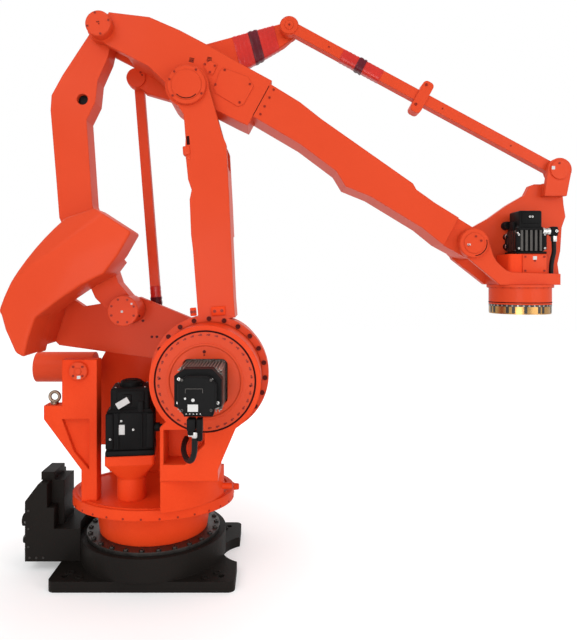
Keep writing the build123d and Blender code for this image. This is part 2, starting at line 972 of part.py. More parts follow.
with BuildPart() as elbow_lever:
    boss(elbow, lever_head_radius, lever_front, lever_back)
    plate(
        member_plane(elbow, 0, lever_back),
        [(0, 0)] + [(top.X, top.Z) for top in (lever_front_top, lever_arch, lever_rear_top)],
        lever_back - lever_front,
    )
    boss(rod_head, lever_rear_radius, lever_front, lever_back)
    boss(link_foot, lever_front_radius, lever_front, lever_back)
    plate(
        member_plane(elbow, lever_front_angle, lever_back),
        [
            (0, -lever_head_radius),
            (lever_root_share * lever_front_length, -lever_root_half),
            (lever_front_length, -lever_front_radius),
            (lever_front_length, lever_front_radius),
            (0, lever_head_radius),
        ],
        lever_back - lever_front,
    )
    plate(
        member_plane(elbow, lever_rear_angle, lever_back),
        [
            (0, -lever_head_radius),
            (lever_rear_length, -lever_rear_radius),
            (lever_rear_length, lever_rear_radius),
            (0, lever_head_radius),
        ],
        lever_back - lever_front,
    )
    bore(elbow, elbow_pin_radius + pin_fit, lever_front, lever_back)
    boss(rod_head, lever_pin_radius, rod_pin_head_front, rod_back)
    boss(link_foot, lever_pin_radius, link_front, lever_back)
save(elbow_lever, "elbow_lever")

# Levelling rod from the rear cheek up to the lever
rod_front = lever_back + running_gap
rod_half = 23
rod_eye_radius = 38

with BuildPart() as level_rod:
    boss(rod_foot, rod_eye_radius, rod_front, rod_back)
    boss(rod_head, rod_eye_radius, rod_front, rod_back)
    plate(
        member_plane(rod_foot, arm_angle, rod_back),
        [(0, -rod_half), (lower_arm_length, -rod_half), (lower_arm_length, rod_half), (0, rod_half)],
        rod_back - rod_front,
    )
    bore(rod_foot, rod_pin_radius + pin_fit, rod_front, rod_back)
    bore(rod_head, lever_pin_radius + pin_fit, rod_front, rod_back)
save(level_rod, "level_rod")

# Upper link from the lever to the wrist, with its clamp block
link_bar_half = 26
link_eye_outer = 45
clamp_share = 0.495
clamp_length = 54
clamp_half = 80
clamp_corner = 20
clamp_margin = 8

with BuildPart() as upper_link:
    boss(link_foot, link_eye_outer, link_front, link_back)
    boss(link_head, link_eye_outer, link_front, link_back)
    plate(
        member_plane(link_foot, -forearm_drop, link_back),
        [
            (0, -link_bar_half),
            (forearm_length, -link_bar_half),
            (forearm_length, link_bar_half),
            (0, link_bar_half),
        ],
        link_back - link_front,
    )
    bore(link_foot, lever_pin_radius + pin_fit, link_front, link_back)
    bore(link_head, lever_pin_radius + pin_fit, link_front, link_back)
save(upper_link, "upper_link")

with BuildPart() as link_clamp:
    with BuildSketch(member_plane(link_foot, -forearm_drop, link_back + clamp_margin)) as clamp:
        with Locations((clamp_share * forearm_length, 0)):
            RectangleRounded(clamp_length, 2 * clamp_half, clamp_corner)
    extrude(clamp.sketch, amount=link_back - link_front + 2 * clamp_margin)
    with BuildSketch(member_plane(link_foot, -forearm_drop, link_back + seat_gap)) as bar:
        with Locations((clamp_share * forearm_length, 0)):
            Rectangle(2 * clamp_length, 2 * (link_bar_half + seat_gap))
    extrude(bar.sketch, amount=link_back - link_front + 2 * seat_gap, mode=Mode.SUBTRACT)
save(link_clamp, "link_clamp")

# Wrist: back plate up to the upper link, front arm, base plate and the tool drive under it
wrist_plate_front = 85
wrist_plate_back = 125
wrist_cheek_front = -110
wrist_cheek_back = -88
wrist_eye_side_share = 0.87
ear_front = 40
ear_back = 65
ear_radius = 56
wrist_base_top_share = 0.43
wrist_base_bottom_share = 0.585
drive_bottom_share = 0.865
wrist_base_left_share = 0.475
wrist_base_front_right_share = 1.548
wrist_base_back_right_share = 1.908
wrist_back_shares = [
    (1.852, -0.346),
    (1.905, -0.10),
    (1.932, 0.344),
    (2.003, 0.547),
    (1.967, 0.773),
    (1.944, 1.039),
]
ledge_shares = [(0.504, -1.107), (-1.817, -1.107)]
wrist_back_left_shares = [
    (1.328, 1.134),
    (1.24, 0.96),
    (0.912, 0.773),
    (0.56, 0.52),
    (0.265, 0.356),
    (-0.179, 0.20),
]
front_arm_shares = [
    (0.686, -0.517),
    (0.60, -0.485),
    (0.527, -0.43),
    (0.42, -0.33),
    (0.35, -0.204),
    (0.279, 0.026),
]
ear_foot_shares = [(-1.28, -2.2), (0.576, -2.2)]
ear_block_shares = [(-1.28, -2.2), (0.504, -2.2), (0.504, -1.107), (-1.28, -1.107)]
drive_radius = 137
drive_collar_radius = 146
drive_collar_height = 12
tool_block_half = 88
tool_block_half_depth = 83
tool_block_height = 90
tool_block_shift = 6
tool_motor_half = 72
tool_motor_shift = 24
tool_motor_height = 199
wrist_base_top = -wrist_base_top_share * tool_drop
wrist_base_bottom = -wrist_base_bottom_share * tool_drop
wrist_base_left = wrist_base_left_share * tool_offset
wrist_base_front_right = wrist_base_front_right_share * tool_offset
wrist_base_back_right = wrist_base_back_right_share * tool_offset
lever_step = link_head - wrist
wrist_base_top_height = wrist.Z + wrist_base_top
wrist_base_bottom_height = wrist.Z + wrist_base_bottom
drive_bottom = wrist.Z - drive_bottom_share * tool_drop
tool_block_top = wrist_base_top_height + tool_block_height


# Points about the wrist pivot, and points about the upper link's pin as the wrist's plane has them
def about_wrist(shares):
    return scaled(shares, tool_offset, tool_offset)


def about_ear(shares):
    return [(lever_step.X + x, lever_step.Z + z) for x, z in scaled(shares, ear_radius, ear_radius)]


with BuildPart() as wrist_frame:
    plate(
        member_plane(wrist, 0, wrist_plate_back),
        [
            (-wrist_eye_radius, 0),
            (-wrist_eye_radius / 2, -wrist_eye_radius),
            (wrist_base_left, wrist_base_bottom),
            (wrist_base_back_right, wrist_base_bottom),
            *about_wrist(wrist_back_shares),
            *about_ear(ledge_shares),
            *about_wrist(wrist_back_left_shares),
        ],
        wrist_plate_back - wrist_plate_front,
    )
    boss(wrist, wrist_eye_radius, wrist_plate_front, wrist_plate_back)
    boss(wrist, wrist_eye_radius, wrist_cheek_front, wrist_cheek_back)
    plate(
        member_plane(wrist, 0, wrist_cheek_back),
        [
            (-wrist_eye_radius / 2, -wrist_eye_side_share * wrist_eye_radius),
            (wrist_base_left, wrist_base_bottom),
            (wrist_base_front_right, wrist_base_bottom),
            (wrist_base_front_right, wrist_base_top),
            *about_wrist(front_arm_shares),
        ],
        wrist_cheek_back - wrist_cheek_front,
    )
    with BuildSketch(Plane(origin=(wrist.X, 0, wrist_base_bottom_height))) as base_plan:
        with BuildLine():
            Polyline(
                (wrist_base_left, wrist_cheek_back),
                (wrist_base_front_right, wrist_cheek_back),
                (wrist_base_back_right, wrist_plate_front),
                (wrist_base_left, wrist_plate_front),
                close=True,
            )
        make_face()
    extrude(base_plan.sketch, amount=wrist_base_top - wrist_base_bottom)
    boss(link_head, ear_radius, ear_front, ear_back)
    plate(
        member_plane(wrist, 0, ear_back),
        [
            *about_ear(ear_foot_shares),
            (lever_step.X + ear_radius, lever_step.Z),
            (lever_step.X - ear_radius, lever_step.Z),
        ],
        ear_back - ear_front,
    )
    plate(
        member_plane(wrist, 0, wrist_plate_front),
        about_ear(ear_block_shares),
        wrist_plate_front - ear_back,
    )
    boss(link_head, lever_pin_radius, ear_back, link_back)
    bore(wrist, wrist_pin_radius + seat_gap, wrist_cheek_front, wrist_plate_back)
save(wrist_frame, "wrist_frame")

with BuildPart() as wrist_pin:
    boss(wrist, wrist_pin_radius, wrist_cheek_front, wrist_plate_back)
    boss(wrist, wrist_eye_radius, wrist_cheek_front - elbow_cap_depth, wrist_cheek_front)
save(wrist_pin, "wrist_pin")

with BuildPart() as tool_drive:
    with BuildSketch(Plane.XY.offset(drive_bottom)):
        with Locations((tool_x, 0)):
            Circle(drive_radius)
    extrude(amount=wrist_base_bottom_height - drive_bottom)
    with BuildSketch(Plane.XY.offset(wrist_base_bottom_height - drive_collar_height)):
        with Locations((tool_x, 0)):
            Circle(drive_collar_radius)
    extrude(amount=drive_collar_height)
save(tool_drive, "tool_drive")

with BuildPart() as tool_motor_block:
    with BuildSketch(Plane.XY.offset(wrist_base_top_height)):
        with Locations((tool_x + tool_block_shift, 0)):
            RectangleRounded(2 * tool_block_half, 2 * tool_block_half_depth, motor_corner)
    extrude(amount=tool_block_height)
save(tool_motor_block, "tool_motor_block")

with BuildPart() as tool_motor:
    with BuildSketch(Plane.XY.offset(tool_block_top)):
        with Locations((tool_x + tool_motor_shift, 0)):
            RectangleRounded(2 * tool_motor_half, 2 * tool_motor_half, motor_corner)
    extrude(amount=tool_motor_height)
save(tool_motor, "tool_motor")

# Plug on the tool motor and its cable down to the base plate
tool_plug_length = 56
tool_plug_y = -44
tool_plug_half = 20
tool_plug_rise = 80
tool_plug_height = 48
tool_lead_radius = 10
tool_plug_left = tool_x + tool_motor_shift + tool_motor_half + seat_gap
tool_plug_bottom = tool_block_top + tool_plug_rise
tool_plug_exit_share = 0.75
tool_plug_top = tool_plug_bottom + tool_plug_height
tool_lead_start = Vector(
    tool_plug_left + tool_plug_exit_share * tool_plug_length, tool_plug_y, tool_plug_bottom - seat_gap
)
tool_lead_drop = tool_lead_start.Z - wrist_base_top_height - seat_gap
tool_lead_shares = [
    (0, 0, 0),
    (0, 0, -0.2),
    (0.006, -0.006, -0.42),
    (-0.054, -0.012, -0.62),
    (-0.08, -0.012, -0.81),
    (-0.08, -0.012, -1.0),
]
tool_lead_route = [tool_lead_start + Vector(*share) * tool_lead_drop for share in tool_lead_shares]

with BuildPart() as tool_plug:
    box_between(
        (tool_plug_left, tool_plug_y - tool_plug_half, tool_plug_bottom),
        (tool_plug_left + tool_plug_length, tool_plug_y + tool_plug_half, tool_plug_top),
    )
save(tool_plug, "tool_plug")

with BuildPart() as tool_lead:
    cable(tool_lead_route, tool_lead_radius)
save(tool_lead, "tool_lead")

# Tool flange that turns under the drive
flange_radius = 135
flange_pcd_radius = 110
flange_bolt_count = 12
flange_hole_radius = 6
flange_hole_depth = 24
flange_pilot_radius = 50
flange_pilot_depth = 8

with BuildPart() as tool_flange:
    with BuildSketch(Plane.XY.offset(tool_z)):
        with Locations((tool_x, 0)):
            Circle(flange_radius)
    extrude(amount=drive_bottom - seat_gap - tool_z)
    with BuildSketch(Plane.XY.offset(tool_z)):
        with Locations((tool_x, 0)):
            with PolarLocations(flange_pcd_radius, flange_bolt_count):
                Circle(flange_hole_radius)
    extrude(amount=flange_hole_depth, mode=Mode.SUBTRACT)
    with BuildSketch(Plane.XY.offset(tool_z)):
        with Locations((tool_x, 0)):
            Circle(flange_pilot_radius)
    extrude(amount=flange_pilot_depth, mode=Mode.SUBTRACT)
save(tool_flange, "tool_flange")
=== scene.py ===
import json
import math

import bmesh
import bpy
from mathutils import Matrix, Vector


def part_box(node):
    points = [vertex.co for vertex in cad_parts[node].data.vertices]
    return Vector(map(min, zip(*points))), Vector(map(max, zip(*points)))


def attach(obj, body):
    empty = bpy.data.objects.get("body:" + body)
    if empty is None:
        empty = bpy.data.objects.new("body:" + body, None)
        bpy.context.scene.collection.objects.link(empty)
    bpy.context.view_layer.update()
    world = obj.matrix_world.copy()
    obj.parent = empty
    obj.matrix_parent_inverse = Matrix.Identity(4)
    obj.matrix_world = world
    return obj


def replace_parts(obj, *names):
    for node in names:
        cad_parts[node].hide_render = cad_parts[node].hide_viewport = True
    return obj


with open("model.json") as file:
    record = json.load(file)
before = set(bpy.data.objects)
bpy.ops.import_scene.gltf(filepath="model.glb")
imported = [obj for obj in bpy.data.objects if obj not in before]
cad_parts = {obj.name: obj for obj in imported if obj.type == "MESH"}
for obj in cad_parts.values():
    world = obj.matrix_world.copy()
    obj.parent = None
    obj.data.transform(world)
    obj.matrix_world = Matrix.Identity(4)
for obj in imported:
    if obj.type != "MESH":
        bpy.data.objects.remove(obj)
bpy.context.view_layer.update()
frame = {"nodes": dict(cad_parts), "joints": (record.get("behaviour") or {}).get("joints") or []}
nodes = frame["nodes"]
jointPlace = {joint["child"]: Vector(joint["pos_m"]) for joint in frame["joints"]}

# Pivots of the linkage, whose axes all run along Y
shoulder = jointPlace["lower_arm"]
elbow = jointPlace["elbow_lever"]
wrist = jointPlace["wrist"]
crankPin = jointPlace["link_pin"]
rodFoot = jointPlace["level_rod"]
rodHead = elbow + rodFoot - shoulder
forkPin = elbow + crankPin - shoulder
linkFoot = jointPlace["upper_link"]
linkHead = linkFoot + wrist - elbow
toolAxis = jointPlace["flange"]
origin = Vector((0, 0, 0))
toViewer, fromViewer = Vector((0, -1, 0)), Vector((0, 1, 0))
toFront, toRear = Vector((1, 0, 0)), Vector((-1, 0, 0))
upward, downward = Vector((0, 0, 1)), Vector((0, 0, -1))
flat = Matrix.Identity(4)

studio = {
    "cameraPlace": (0.536, -2.880, 1.304),
    "lens": 34.875,
    "shift": (0.029, -0.066),
    "skyLevel": 0.62,
    "floorSize": 24.0,
    "floorTone": 0.80,
    "floorLook": {"Roughness": 0.9, "Specular IOR Level": 0.1, "Emission Color": (1, 1, 1, 1)},
    # The floor's glow for the camera, near the base and far out: lower near, as painted shade round the base
    "floorGlowShaded": (0.30, 0.56),
    "floorReach": (0.7, 2.6),
    "lamps": {
        "keyLamp": {"place": (-1.9, -3.4, 4.2), "aim": (0.3, 0.0, 1.2), "size": 2.6, "power": 56},
        "lowLamp": {"place": (-0.3, -4.3, 0.9), "aim": (0.0, 0.0, 0.6), "size": 2.0, "power": 58},
        "fillLamp": {"place": (3.6, -2.6, 2.0), "aim": (0.8, 0.0, 1.2), "size": 2.2, "power": 45},
        "topLamp": {"place": (0.4, 1.2, 4.6), "aim": (0.4, 0.0, 1.0), "size": 3.0, "power": 60},
    },
}


def setInputs(node, values):
    for name, value in values.items():
        node.inputs[name].default_value = value
    return node


def addNode(tree, kind, **values):
    return setInputs(tree.nodes.new(kind), values)


def addMath(tree, operation, first, second):
    node = addNode(tree, "ShaderNodeMath")
    node.operation = operation
    tree.links.new(first, node.inputs[0])
    tree.links.new(second, node.inputs[1])
    return node.outputs["Value"]


def wire(tree, *joins):
    # Each join is a node and its output, then the node that it feeds and the input there
    for source, output, target, socket in joins:
        tree.links.new(source.outputs[output], target.inputs[socket])


def openTree(tree, inputs, outputs):
    # The tree's sockets, as pairs of a name and a kind, and its two end nodes
    for way, pairs in (("INPUT", inputs), ("OUTPUT", outputs)):
        for name, kind in pairs:
            tree.interface.new_socket(name, in_out=way, socket_type="NodeSocket" + kind)
    return addNode(tree, "NodeGroupInput"), addNode(tree, "NodeGroupOutput")


def addObject(name, data):
    made = bpy.data.objects.new(name, data)
    bpy.context.scene.collection.objects.link(made)
    return made


def newMaterial(name):
    material = bpy.data.materials.new(name)
    material.use_nodes = True
    return material, material.node_tree, material.node_tree.nodes["Principled BSDF"]


def seenDirectly(tree):
    # 1 for what the camera, a reflection or a glass sees, and 0 for the light that falls on things
    path = addNode(tree, "ShaderNodeLightPath")
    total = path.outputs["Is Camera Ray"]
    for ray in ("Is Glossy Ray", "Is Transmission Ray"):
        total = addMath(tree, "MAXIMUM", total, path.outputs[ray])
    return total


def setCamera():
    data = bpy.data.cameras.new("camera")
    data.lens = studio["lens"]
    data.shift_x, data.shift_y = studio["shift"]
    camera = addObject("camera", data)
    camera.location = studio["cameraPlace"]
    camera.rotation_euler = (math.radians(90), 0, 0)
    bpy.context.scene.camera = camera


def setLight():
    for name, lamp in studio["lamps"].items():
        data = bpy.data.lights.new(name, "AREA")
        data.size = lamp["size"]
        data.energy = lamp["power"]
        light = addObject(name, data)
        light.location = lamp["place"]
        aim = Vector(lamp["aim"]) - Vector(lamp["place"])
        light.rotation_euler = aim.to_track_quat("-Z", "Y").to_euler()
    world = bpy.data.worlds.new("studioWorld")
    bpy.context.scene.world = world
    world.use_nodes = True
    tree = world.node_tree
    level = addNode(tree, "ShaderNodeMapRange", **{"To Min": studio["skyLevel"], "To Max": 1.0})
    tree.links.new(seenDirectly(tree), level.inputs["Value"])
    sky = setInputs(tree.nodes["Background"], {"Color": (1, 1, 1, 1)})
    wire(tree, (level, "Result", sky, "Strength"))
    bpy.context.scene.view_settings.view_transform = "Standard"


def layFloor():
    half = studio["floorSize"] / 2
    mesh = bpy.data.meshes.new("floor")
    corners = [(-half, -half, 0), (half, -half, 0), (half, half, 0), (-half, half, 0)]
    mesh.from_pydata(corners, [], [(0, 1, 2, 3)])
    floor = addObject("floor", mesh)
    material, tree, shader = newMaterial("paleFloor")
    setInputs(shader, {"Base Color": (*[studio["floorTone"]] * 3, 1), **studio["floorLook"]})
    place = addNode(tree, "ShaderNodeTexCoord")
    away = addNode(tree, "ShaderNodeVectorMath")
    away.operation = "LENGTH"
    # The floor glows for the camera less near the base than far out, a painted shade round the base added to
    # the real shadow
    (near, far), (low, high) = studio["floorReach"], studio["floorGlowShaded"]
    shadedGlow = addNode(tree, "ShaderNodeMapRange",
                   **{"From Min": near, "From Max": far, "To Min": low, "To Max": high})
    wire(tree, (place, "Object", away, 0), (away, "Value", shadedGlow, "Value"))
    shown = addMath(tree, "MULTIPLY", shadedGlow.outputs["Result"], seenDirectly(tree))
    tree.links.new(shown, shader.inputs["Emission Strength"])
    mesh.materials.append(material)


setCamera()
setLight()
layFloor()
print("studio ready")


def makeGrainGroup():
    # Slow drift of tone, fine grain and a skin that catches the light, for paint, casting and metal alike
    group = bpy.data.node_groups.new("surfaceGrain", "ShaderNodeTree")
    floats = ("Drift Scale", "Grain Scale", "Grain Share", "Rough Low", "Rough High", "Skin Depth",
              "Edge Radius")
    inside, outside = openTree(
        group, [("Tone A", "Color"), ("Tone B", "Color"), *((name, "Float") for name in floats)],
        [("Color", "Color"), ("Roughness", "Float"), ("Normal", "Vector")])
    spreadRange = {"From Min": 0.3, "From Max": 0.7}
    place = addNode(group, "ShaderNodeTexCoord")
    drift = addNode(group, "ShaderNodeTexNoise", Detail=3.0, Roughness=0.5)
    grain = addNode(group, "ShaderNodeTexNoise", Detail=2.0, Roughness=0.6)
    share = addNode(group, "ShaderNodeMix")
    spread = addNode(group, "ShaderNodeMapRange", **spreadRange)
    tone = addNode(group, "ShaderNodeMix")
    tone.data_type = "RGBA"
    rough = addNode(group, "ShaderNodeMapRange", **spreadRange)
    soften = addNode(group, "ShaderNodeBevel")
    soften.samples = 4
    skin = addNode(group, "ShaderNodeBump", Strength=1.0)
    wire(group, (place, "Object", drift, "Vector"), (place, "Object", grain, "Vector"),
         (inside, "Drift Scale", drift, "Scale"), (inside, "Grain Scale", grain, "Scale"),
         (inside, "Grain Share", share, "Factor"), (drift, "Fac", share, "A"), (grain, "Fac", share, "B"),
         (share, "Result", spread, "Value"), (spread, "Result", tone, "Factor"),
         (inside, "Tone A", tone, "A"),
         (inside, "Tone B", tone, "B"), (share, "Result", rough, "Value"),
         (inside, "Rough Low", rough, "To Min"),
         (inside, "Rough High", rough, "To Max"), (inside, "Edge Radius", soften, "Radius"),
         (inside, "Skin Depth", skin, "Distance"), (grain, "Fac", skin, "Height"),
         (soften, "Normal", skin, "Normal"),
         (tone, "Result", outside, "Color"), (rough, "Result", outside, "Roughness"),
         (skin, "Normal", outside, "Normal"))
    return group


grainGroup = makeGrainGroup()

# Steels share a fine grain, and what a finish doesn't name is that of plainLook
plainLook = {"metallic": 0.0, "specular": 0.5, "coat": 0.0, "coatRough": 0.2, "drift": 30.0}
steelGrain = {"grain": 600.0, "depth": 0.00008, "edge": 0.001, "metallic": 1.0}
finishes = {
    "orangePaint": {
        "toneA": (0.67, 0.068, 0.023), "toneB": (0.61, 0.054, 0.016), "rough": (0.34, 0.46),
        "specular": 0.05,
        "drift": 1.6, "grain": 260.0, "depth": 0.00022, "edge": 0.006, "coat": 0.05, "coatRough": 0.14,
    },
    # The same orange paint with a cast skin, on the lower castings; its deeper, brighter red is painted light,
    # for how light falls on the lower parts
    "castingPaintLowerLit": {
        "toneA": (0.78, 0.064, 0.014), "toneB": (0.68, 0.044, 0.008), "rough": (0.38, 0.54),
        "specular": 0.05,
        "drift": 3.0, "grain": 150.0, "depth": 0.0006, "edge": 0.007, "coat": 0.05,
    },
    "blackCasting": {
        "toneA": (0.0065, 0.0052, 0.0044), "toneB": (0.012, 0.0095, 0.008), "rough": (0.46, 0.66),
        "specular": 0.07,
        "drift": 3.5, "grain": 130.0, "depth": 0.0009, "edge": 0.006, "coat": 0.04, "coatRough": 0.3,
    },
    "motorBlack": {
        "toneA": (0.0045, 0.0044, 0.0046), "toneB": (0.010, 0.0098, 0.010), "rough": (0.40, 0.54),
        "specular": 0.05,
        "drift": 8.0, "grain": 380.0, "depth": 0.0003, "edge": 0.0025,
    },
    "motorGrey": {
        "toneA": (0.30, 0.285, 0.26), "toneB": (0.22, 0.21, 0.195), "rough": (0.32, 0.46), "metallic": 0.5,
        "drift": 9.0, "grain": 420.0, "depth": 0.0003, "edge": 0.002,
    },
    "zincSteel": {
        "toneA": (0.55, 0.54, 0.52), "toneB": (0.42, 0.41, 0.40), "rough": (0.24, 0.4), **steelGrain,
    },
    "eyeSteel": {
        "toneA": (0.26, 0.19, 0.14), "toneB": (0.17, 0.12, 0.09), "rough": (0.28, 0.42), **steelGrain,
    },
    "darkScrew": {
        "toneA": (0.035, 0.032, 0.03), "toneB": (0.06, 0.055, 0.05), "rough": (0.3, 0.45), **steelGrain,
        "metallic": 0.8, "edge": 0.0008,
    },
    "goldenSteel": {
        "toneA": (0.47, 0.27, 0.09), "toneB": (0.32, 0.17, 0.06), "rough": (0.2, 0.34), **steelGrain,
        "drift": 14.0, "grain": 500.0, "edge": 0.0015,
    },
    # Red screw heads, darker than the paint round them: the darkening is painted shade, as in their sockets
    # and holes
    "shadedRedScrew": {
        "toneA": (0.36, 0.024, 0.008), "toneB": (0.25, 0.016, 0.006), "rough": (0.36, 0.5), "specular": 0.15,
        "grain": 500.0, "depth": 0.0001, "edge": 0.0012, "coat": 0.10,
    },
    "cableSheath": {
        "toneA": (0.006, 0.006, 0.0063), "toneB": (0.011, 0.011, 0.0113), "rough": (0.45, 0.6),
        "specular": 0.1,
        "drift": 20.0, "grain": 500.0, "depth": 0.0002, "edge": 0.001,
    },
    # Pale bare metal for plates and labels, also for the small bright patches of painted highlight
    "barePlateAndGlint": {
        "toneA": (0.52, 0.51, 0.50), "toneB": (0.46, 0.455, 0.445), "rough": (0.4, 0.52), "metallic": 0.2,
        "drift": 12.0, "grain": 300.0, "depth": 0.00005, "edge": 0.0008,
    },
    "seamShadow": {
        "toneA": (0.04, 0.006, 0.005), "toneB": (0.025, 0.004, 0.004), "rough": (0.6, 0.75),
        "specular": 0.04,
        "drift": 10.0, "grain": 200.0, "depth": 0.0001, "edge": 0.001,
    },
    # Dark red-brown for bolts and small holes: painted shade, as in the recesses round them
    "boltRecessShade": {
        "toneA": (0.12, 0.012, 0.009), "toneB": (0.07, 0.008, 0.007), "rough": (0.4, 0.55), "specular": 0.08,
        "grain": 500.0, "depth": 0.0001, "edge": 0.001,
    },
    "redWrap": {
        "toneA": (0.60, 0.030, 0.020), "toneB": (0.46, 0.018, 0.014), "rough": (0.22, 0.34),
        "specular": 0.15,
        "drift": 9.0, "grain": 90.0, "depth": 0.0009, "edge": 0.002, "coat": 0.14, "coatRough": 0.12,
    },
    "darkBand": {
        "toneA": (0.13, 0.008, 0.018), "toneB": (0.07, 0.005, 0.010), "rough": (0.3, 0.42), "specular": 0.15,
        "drift": 14.0, "grain": 140.0, "depth": 0.0006, "edge": 0.002, "coat": 0.06, "coatRough": 0.15,
    },
}
grainShare = 0.25


def makeFinish(name):
    look = {**plainLook, **finishes[name]}
    material, tree, shader = newMaterial(name)
    grain = addNode(tree, "ShaderNodeGroup")
    grain.node_tree = grainGroup
    setInputs(grain, {
        "Tone A": (*look["toneA"], 1), "Tone B": (*look["toneB"], 1), "Rough Low": look["rough"][0],
        "Rough High": look["rough"][1], "Drift Scale": look["drift"], "Grain Scale": look["grain"],
        "Grain Share": grainShare, "Skin Depth": look["depth"], "Edge Radius": look["edge"]})
    wire(tree, (grain, "Color", shader, "Base Color"), (grain, "Roughness", shader, "Roughness"),
         (grain, "Normal", shader, "Normal"))
    setInputs(shader, {"Metallic": look["metallic"], "Specular IOR Level": look["specular"],
                       "Coat Weight": look["coat"], "Coat Roughness": look["coatRough"]})
    return material


finish = {name: makeFinish(name) for name in finishes}

nodeLooks = {
    "blackCasting": ("base_casting", "cable_box"),
    "darkScrew": ("slew_ring",),
    "motorBlack": ("shoulder_motor", "crank_motor", "yaw_motor", "tool_motor", "yaw_conduit"),
    "castingPaintLowerLit": ("tool_motor_block", "turntable", "front_cheek", "rear_cheek", "front_post",
                       "yaw_pedestal"),
    "goldenSteel": ("tool_flange",),
    "eyeSteel": ("lifting_eye",),
}


def dressNodes():
    lookOf = {name: look for look, names in nodeLooks.items() for name in names}
    for name, solid in nodes.items():
        solid.data.materials.clear()
        solid.data.materials.append(finish[lookOf.get(name, "orangePaint")])


dressNodes()
print("finishes on all solids")


def axisPose(place, axis):
    return Matrix.Translation(place) @ upward.rotation_difference(axis).to_matrix().to_4x4()


def frontPose(place, degrees=0.0):
    # Own X along the member, own Y across it in the view's plane, own Z out towards the viewer
    lean = Matrix.Rotation(math.radians(-degrees), 4, "Y")
    return Matrix.Translation(place) @ lean @ Matrix.Rotation(math.radians(90), 4, "X")


def onLayer(pivot, y):
    return Vector((pivot.x, y, pivot.z))


def fourOf(x, y, z=0.0):
    return [(sx * x, sy * y, z) for sx in (-1, 1) for sy in (-1, 1)]


def steps(low, high, count):
    return [low + (high - low) * k / (count - 1) for k in range(count)]


def turned(bm, place, axis, profile, sides=32):
    # A lathe shape: the profile's pairs are a radius and a distance along the axis
    pose = axisPose(place, axis)
    rings = []
    for radius, along in profile:
        corners = sides if radius > 0 else 1
        angles = [2 * math.pi * k / corners for k in range(corners)]
        spots = [Vector((radius * math.cos(a), radius * math.sin(a), along)) for a in angles]
        rings.append([bm.verts.new(pose @ spot) for spot in spots])
    for low, high in zip(rings, rings[1:]):
        for k in range(sides):
            loop = (low[k % len(low)], low[(k + 1) % len(low)], high[(k + 1) % len(high)],
                    high[k % len(high)])
            corners = list(dict.fromkeys(loop))
            if len(corners) > 2:
                bm.faces.new(corners)


def closedShell(bm, pose, rings):
    # Walls between rings of places, and a lid on the first and on the last
    rings = [[bm.verts.new(pose @ Vector(place)) for place in ring] for ring in rings]
    count = len(rings[0])
    for low, high in zip(rings, rings[1:]):
        for k in range(count):
            bm.faces.new((low[k], low[(k + 1) % count], high[(k + 1) % count], high[k]))
    bm.faces.new(list(reversed(rings[0])))
    bm.faces.new(rings[-1])


def prism(bm, outline, pose, start, end, chamfer=0.0):
    # An outline in the pose's own X and Y, raised from start to end along its Z, with its far rim chamfered
    middle = sum((Vector(corner) for corner in outline), Vector((0, 0))) / len(outline)
    rings = [[(x, y, start) for x, y in outline]]
    if chamfer:
        rings.append([(x, y, end - chamfer) for x, y in outline])
        outline = [Vector(corner) + (middle - Vector(corner)).normalized() * chamfer for corner in outline]
    closedShell(bm, pose, rings + [[(x, y, end) for x, y in outline]])


def roundedBox(bm, pose, low, high, bevel=0.003, segments=2):
    made = bmesh.ops.create_cube(bm, size=1.0)["verts"]
    low, high = Vector(low), Vector(high)
    bmesh.ops.scale(bm, vec=high - low, verts=made)
    bmesh.ops.translate(bm, vec=(low + high) / 2, verts=made)
    edges = list({edge for vert in made for edge in vert.link_edges})
    if bevel:
        cut = bmesh.ops.bevel(bm, geom=edges, offset=bevel, segments=segments, affect="EDGES", profile=0.5)
        made = list({vert for face in cut["faces"] for vert in face.verts} | {v for v in made if v.is_valid})
    bmesh.ops.transform(bm, matrix=pose, verts=made)


def keepMesh(name, mesh, look, body, crease=35):
    mesh.shade_smooth()
    mesh.set_sharp_from_angle(angle=math.radians(crease))
    mesh.materials.clear()
    mesh.materials.append(finish[look])
    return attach(addObject(name, mesh), body)


def makePiece(name, bm, look, body, crease=35):
    bmesh.ops.remove_doubles(bm, verts=bm.verts, dist=0.00001)
    bmesh.ops.recalc_face_normals(bm, faces=bm.faces)
    mesh = bpy.data.meshes.new(name)
    bm.to_mesh(mesh)
    bm.free()
    return keepMesh(name, mesh, look, body, crease)


def solidPiece(name, look, body, boxes=(), prisms=(), lathes=(), pose=flat, crease=35):
    # What roundedBox, prism and turned take after the pose or, for the last, a place in the pose
    bm = bmesh.new()
    for box in boxes:
        roundedBox(bm, pose, *box)
    for outline, *rest in prisms:
        prism(bm, outline, pose, *rest)
    for place, *rest in lathes:
        turned(bm, pose @ Vector(place), *rest)
    return makePiece(name, bm, look, body, crease)


def turnedPiece(name, look, body, *shape):
    return solidPiece(name, look, body, lathes=[shape])


def finishField(tree, inside, outside, shape, output, facing):
    # Puts the shape on every point, turned as asked, makes it real and gives it its finish
    spread = addNode(tree, "GeometryNodeInstanceOnPoints")
    real = addNode(tree, "GeometryNodeRealizeInstances")
    coat = addNode(tree, "GeometryNodeSetMaterial")
    wire(tree, (inside, "Points", spread, "Points"), (shape, output, spread, "Instance"),
         (facing, "Rotation", spread, "Rotation"), (spread, "Instances", real, "Geometry"),
         (real, "Geometry", coat, "Geometry"), (inside, "Finish", coat, "Material"),
         (coat, "Geometry", outside, "Field"))
    return tree


def readFacing(tree):
    facing = addNode(tree, "GeometryNodeInputNamedAttribute", Name="facing")
    facing.data_type = "FLOAT_VECTOR"
    return facing


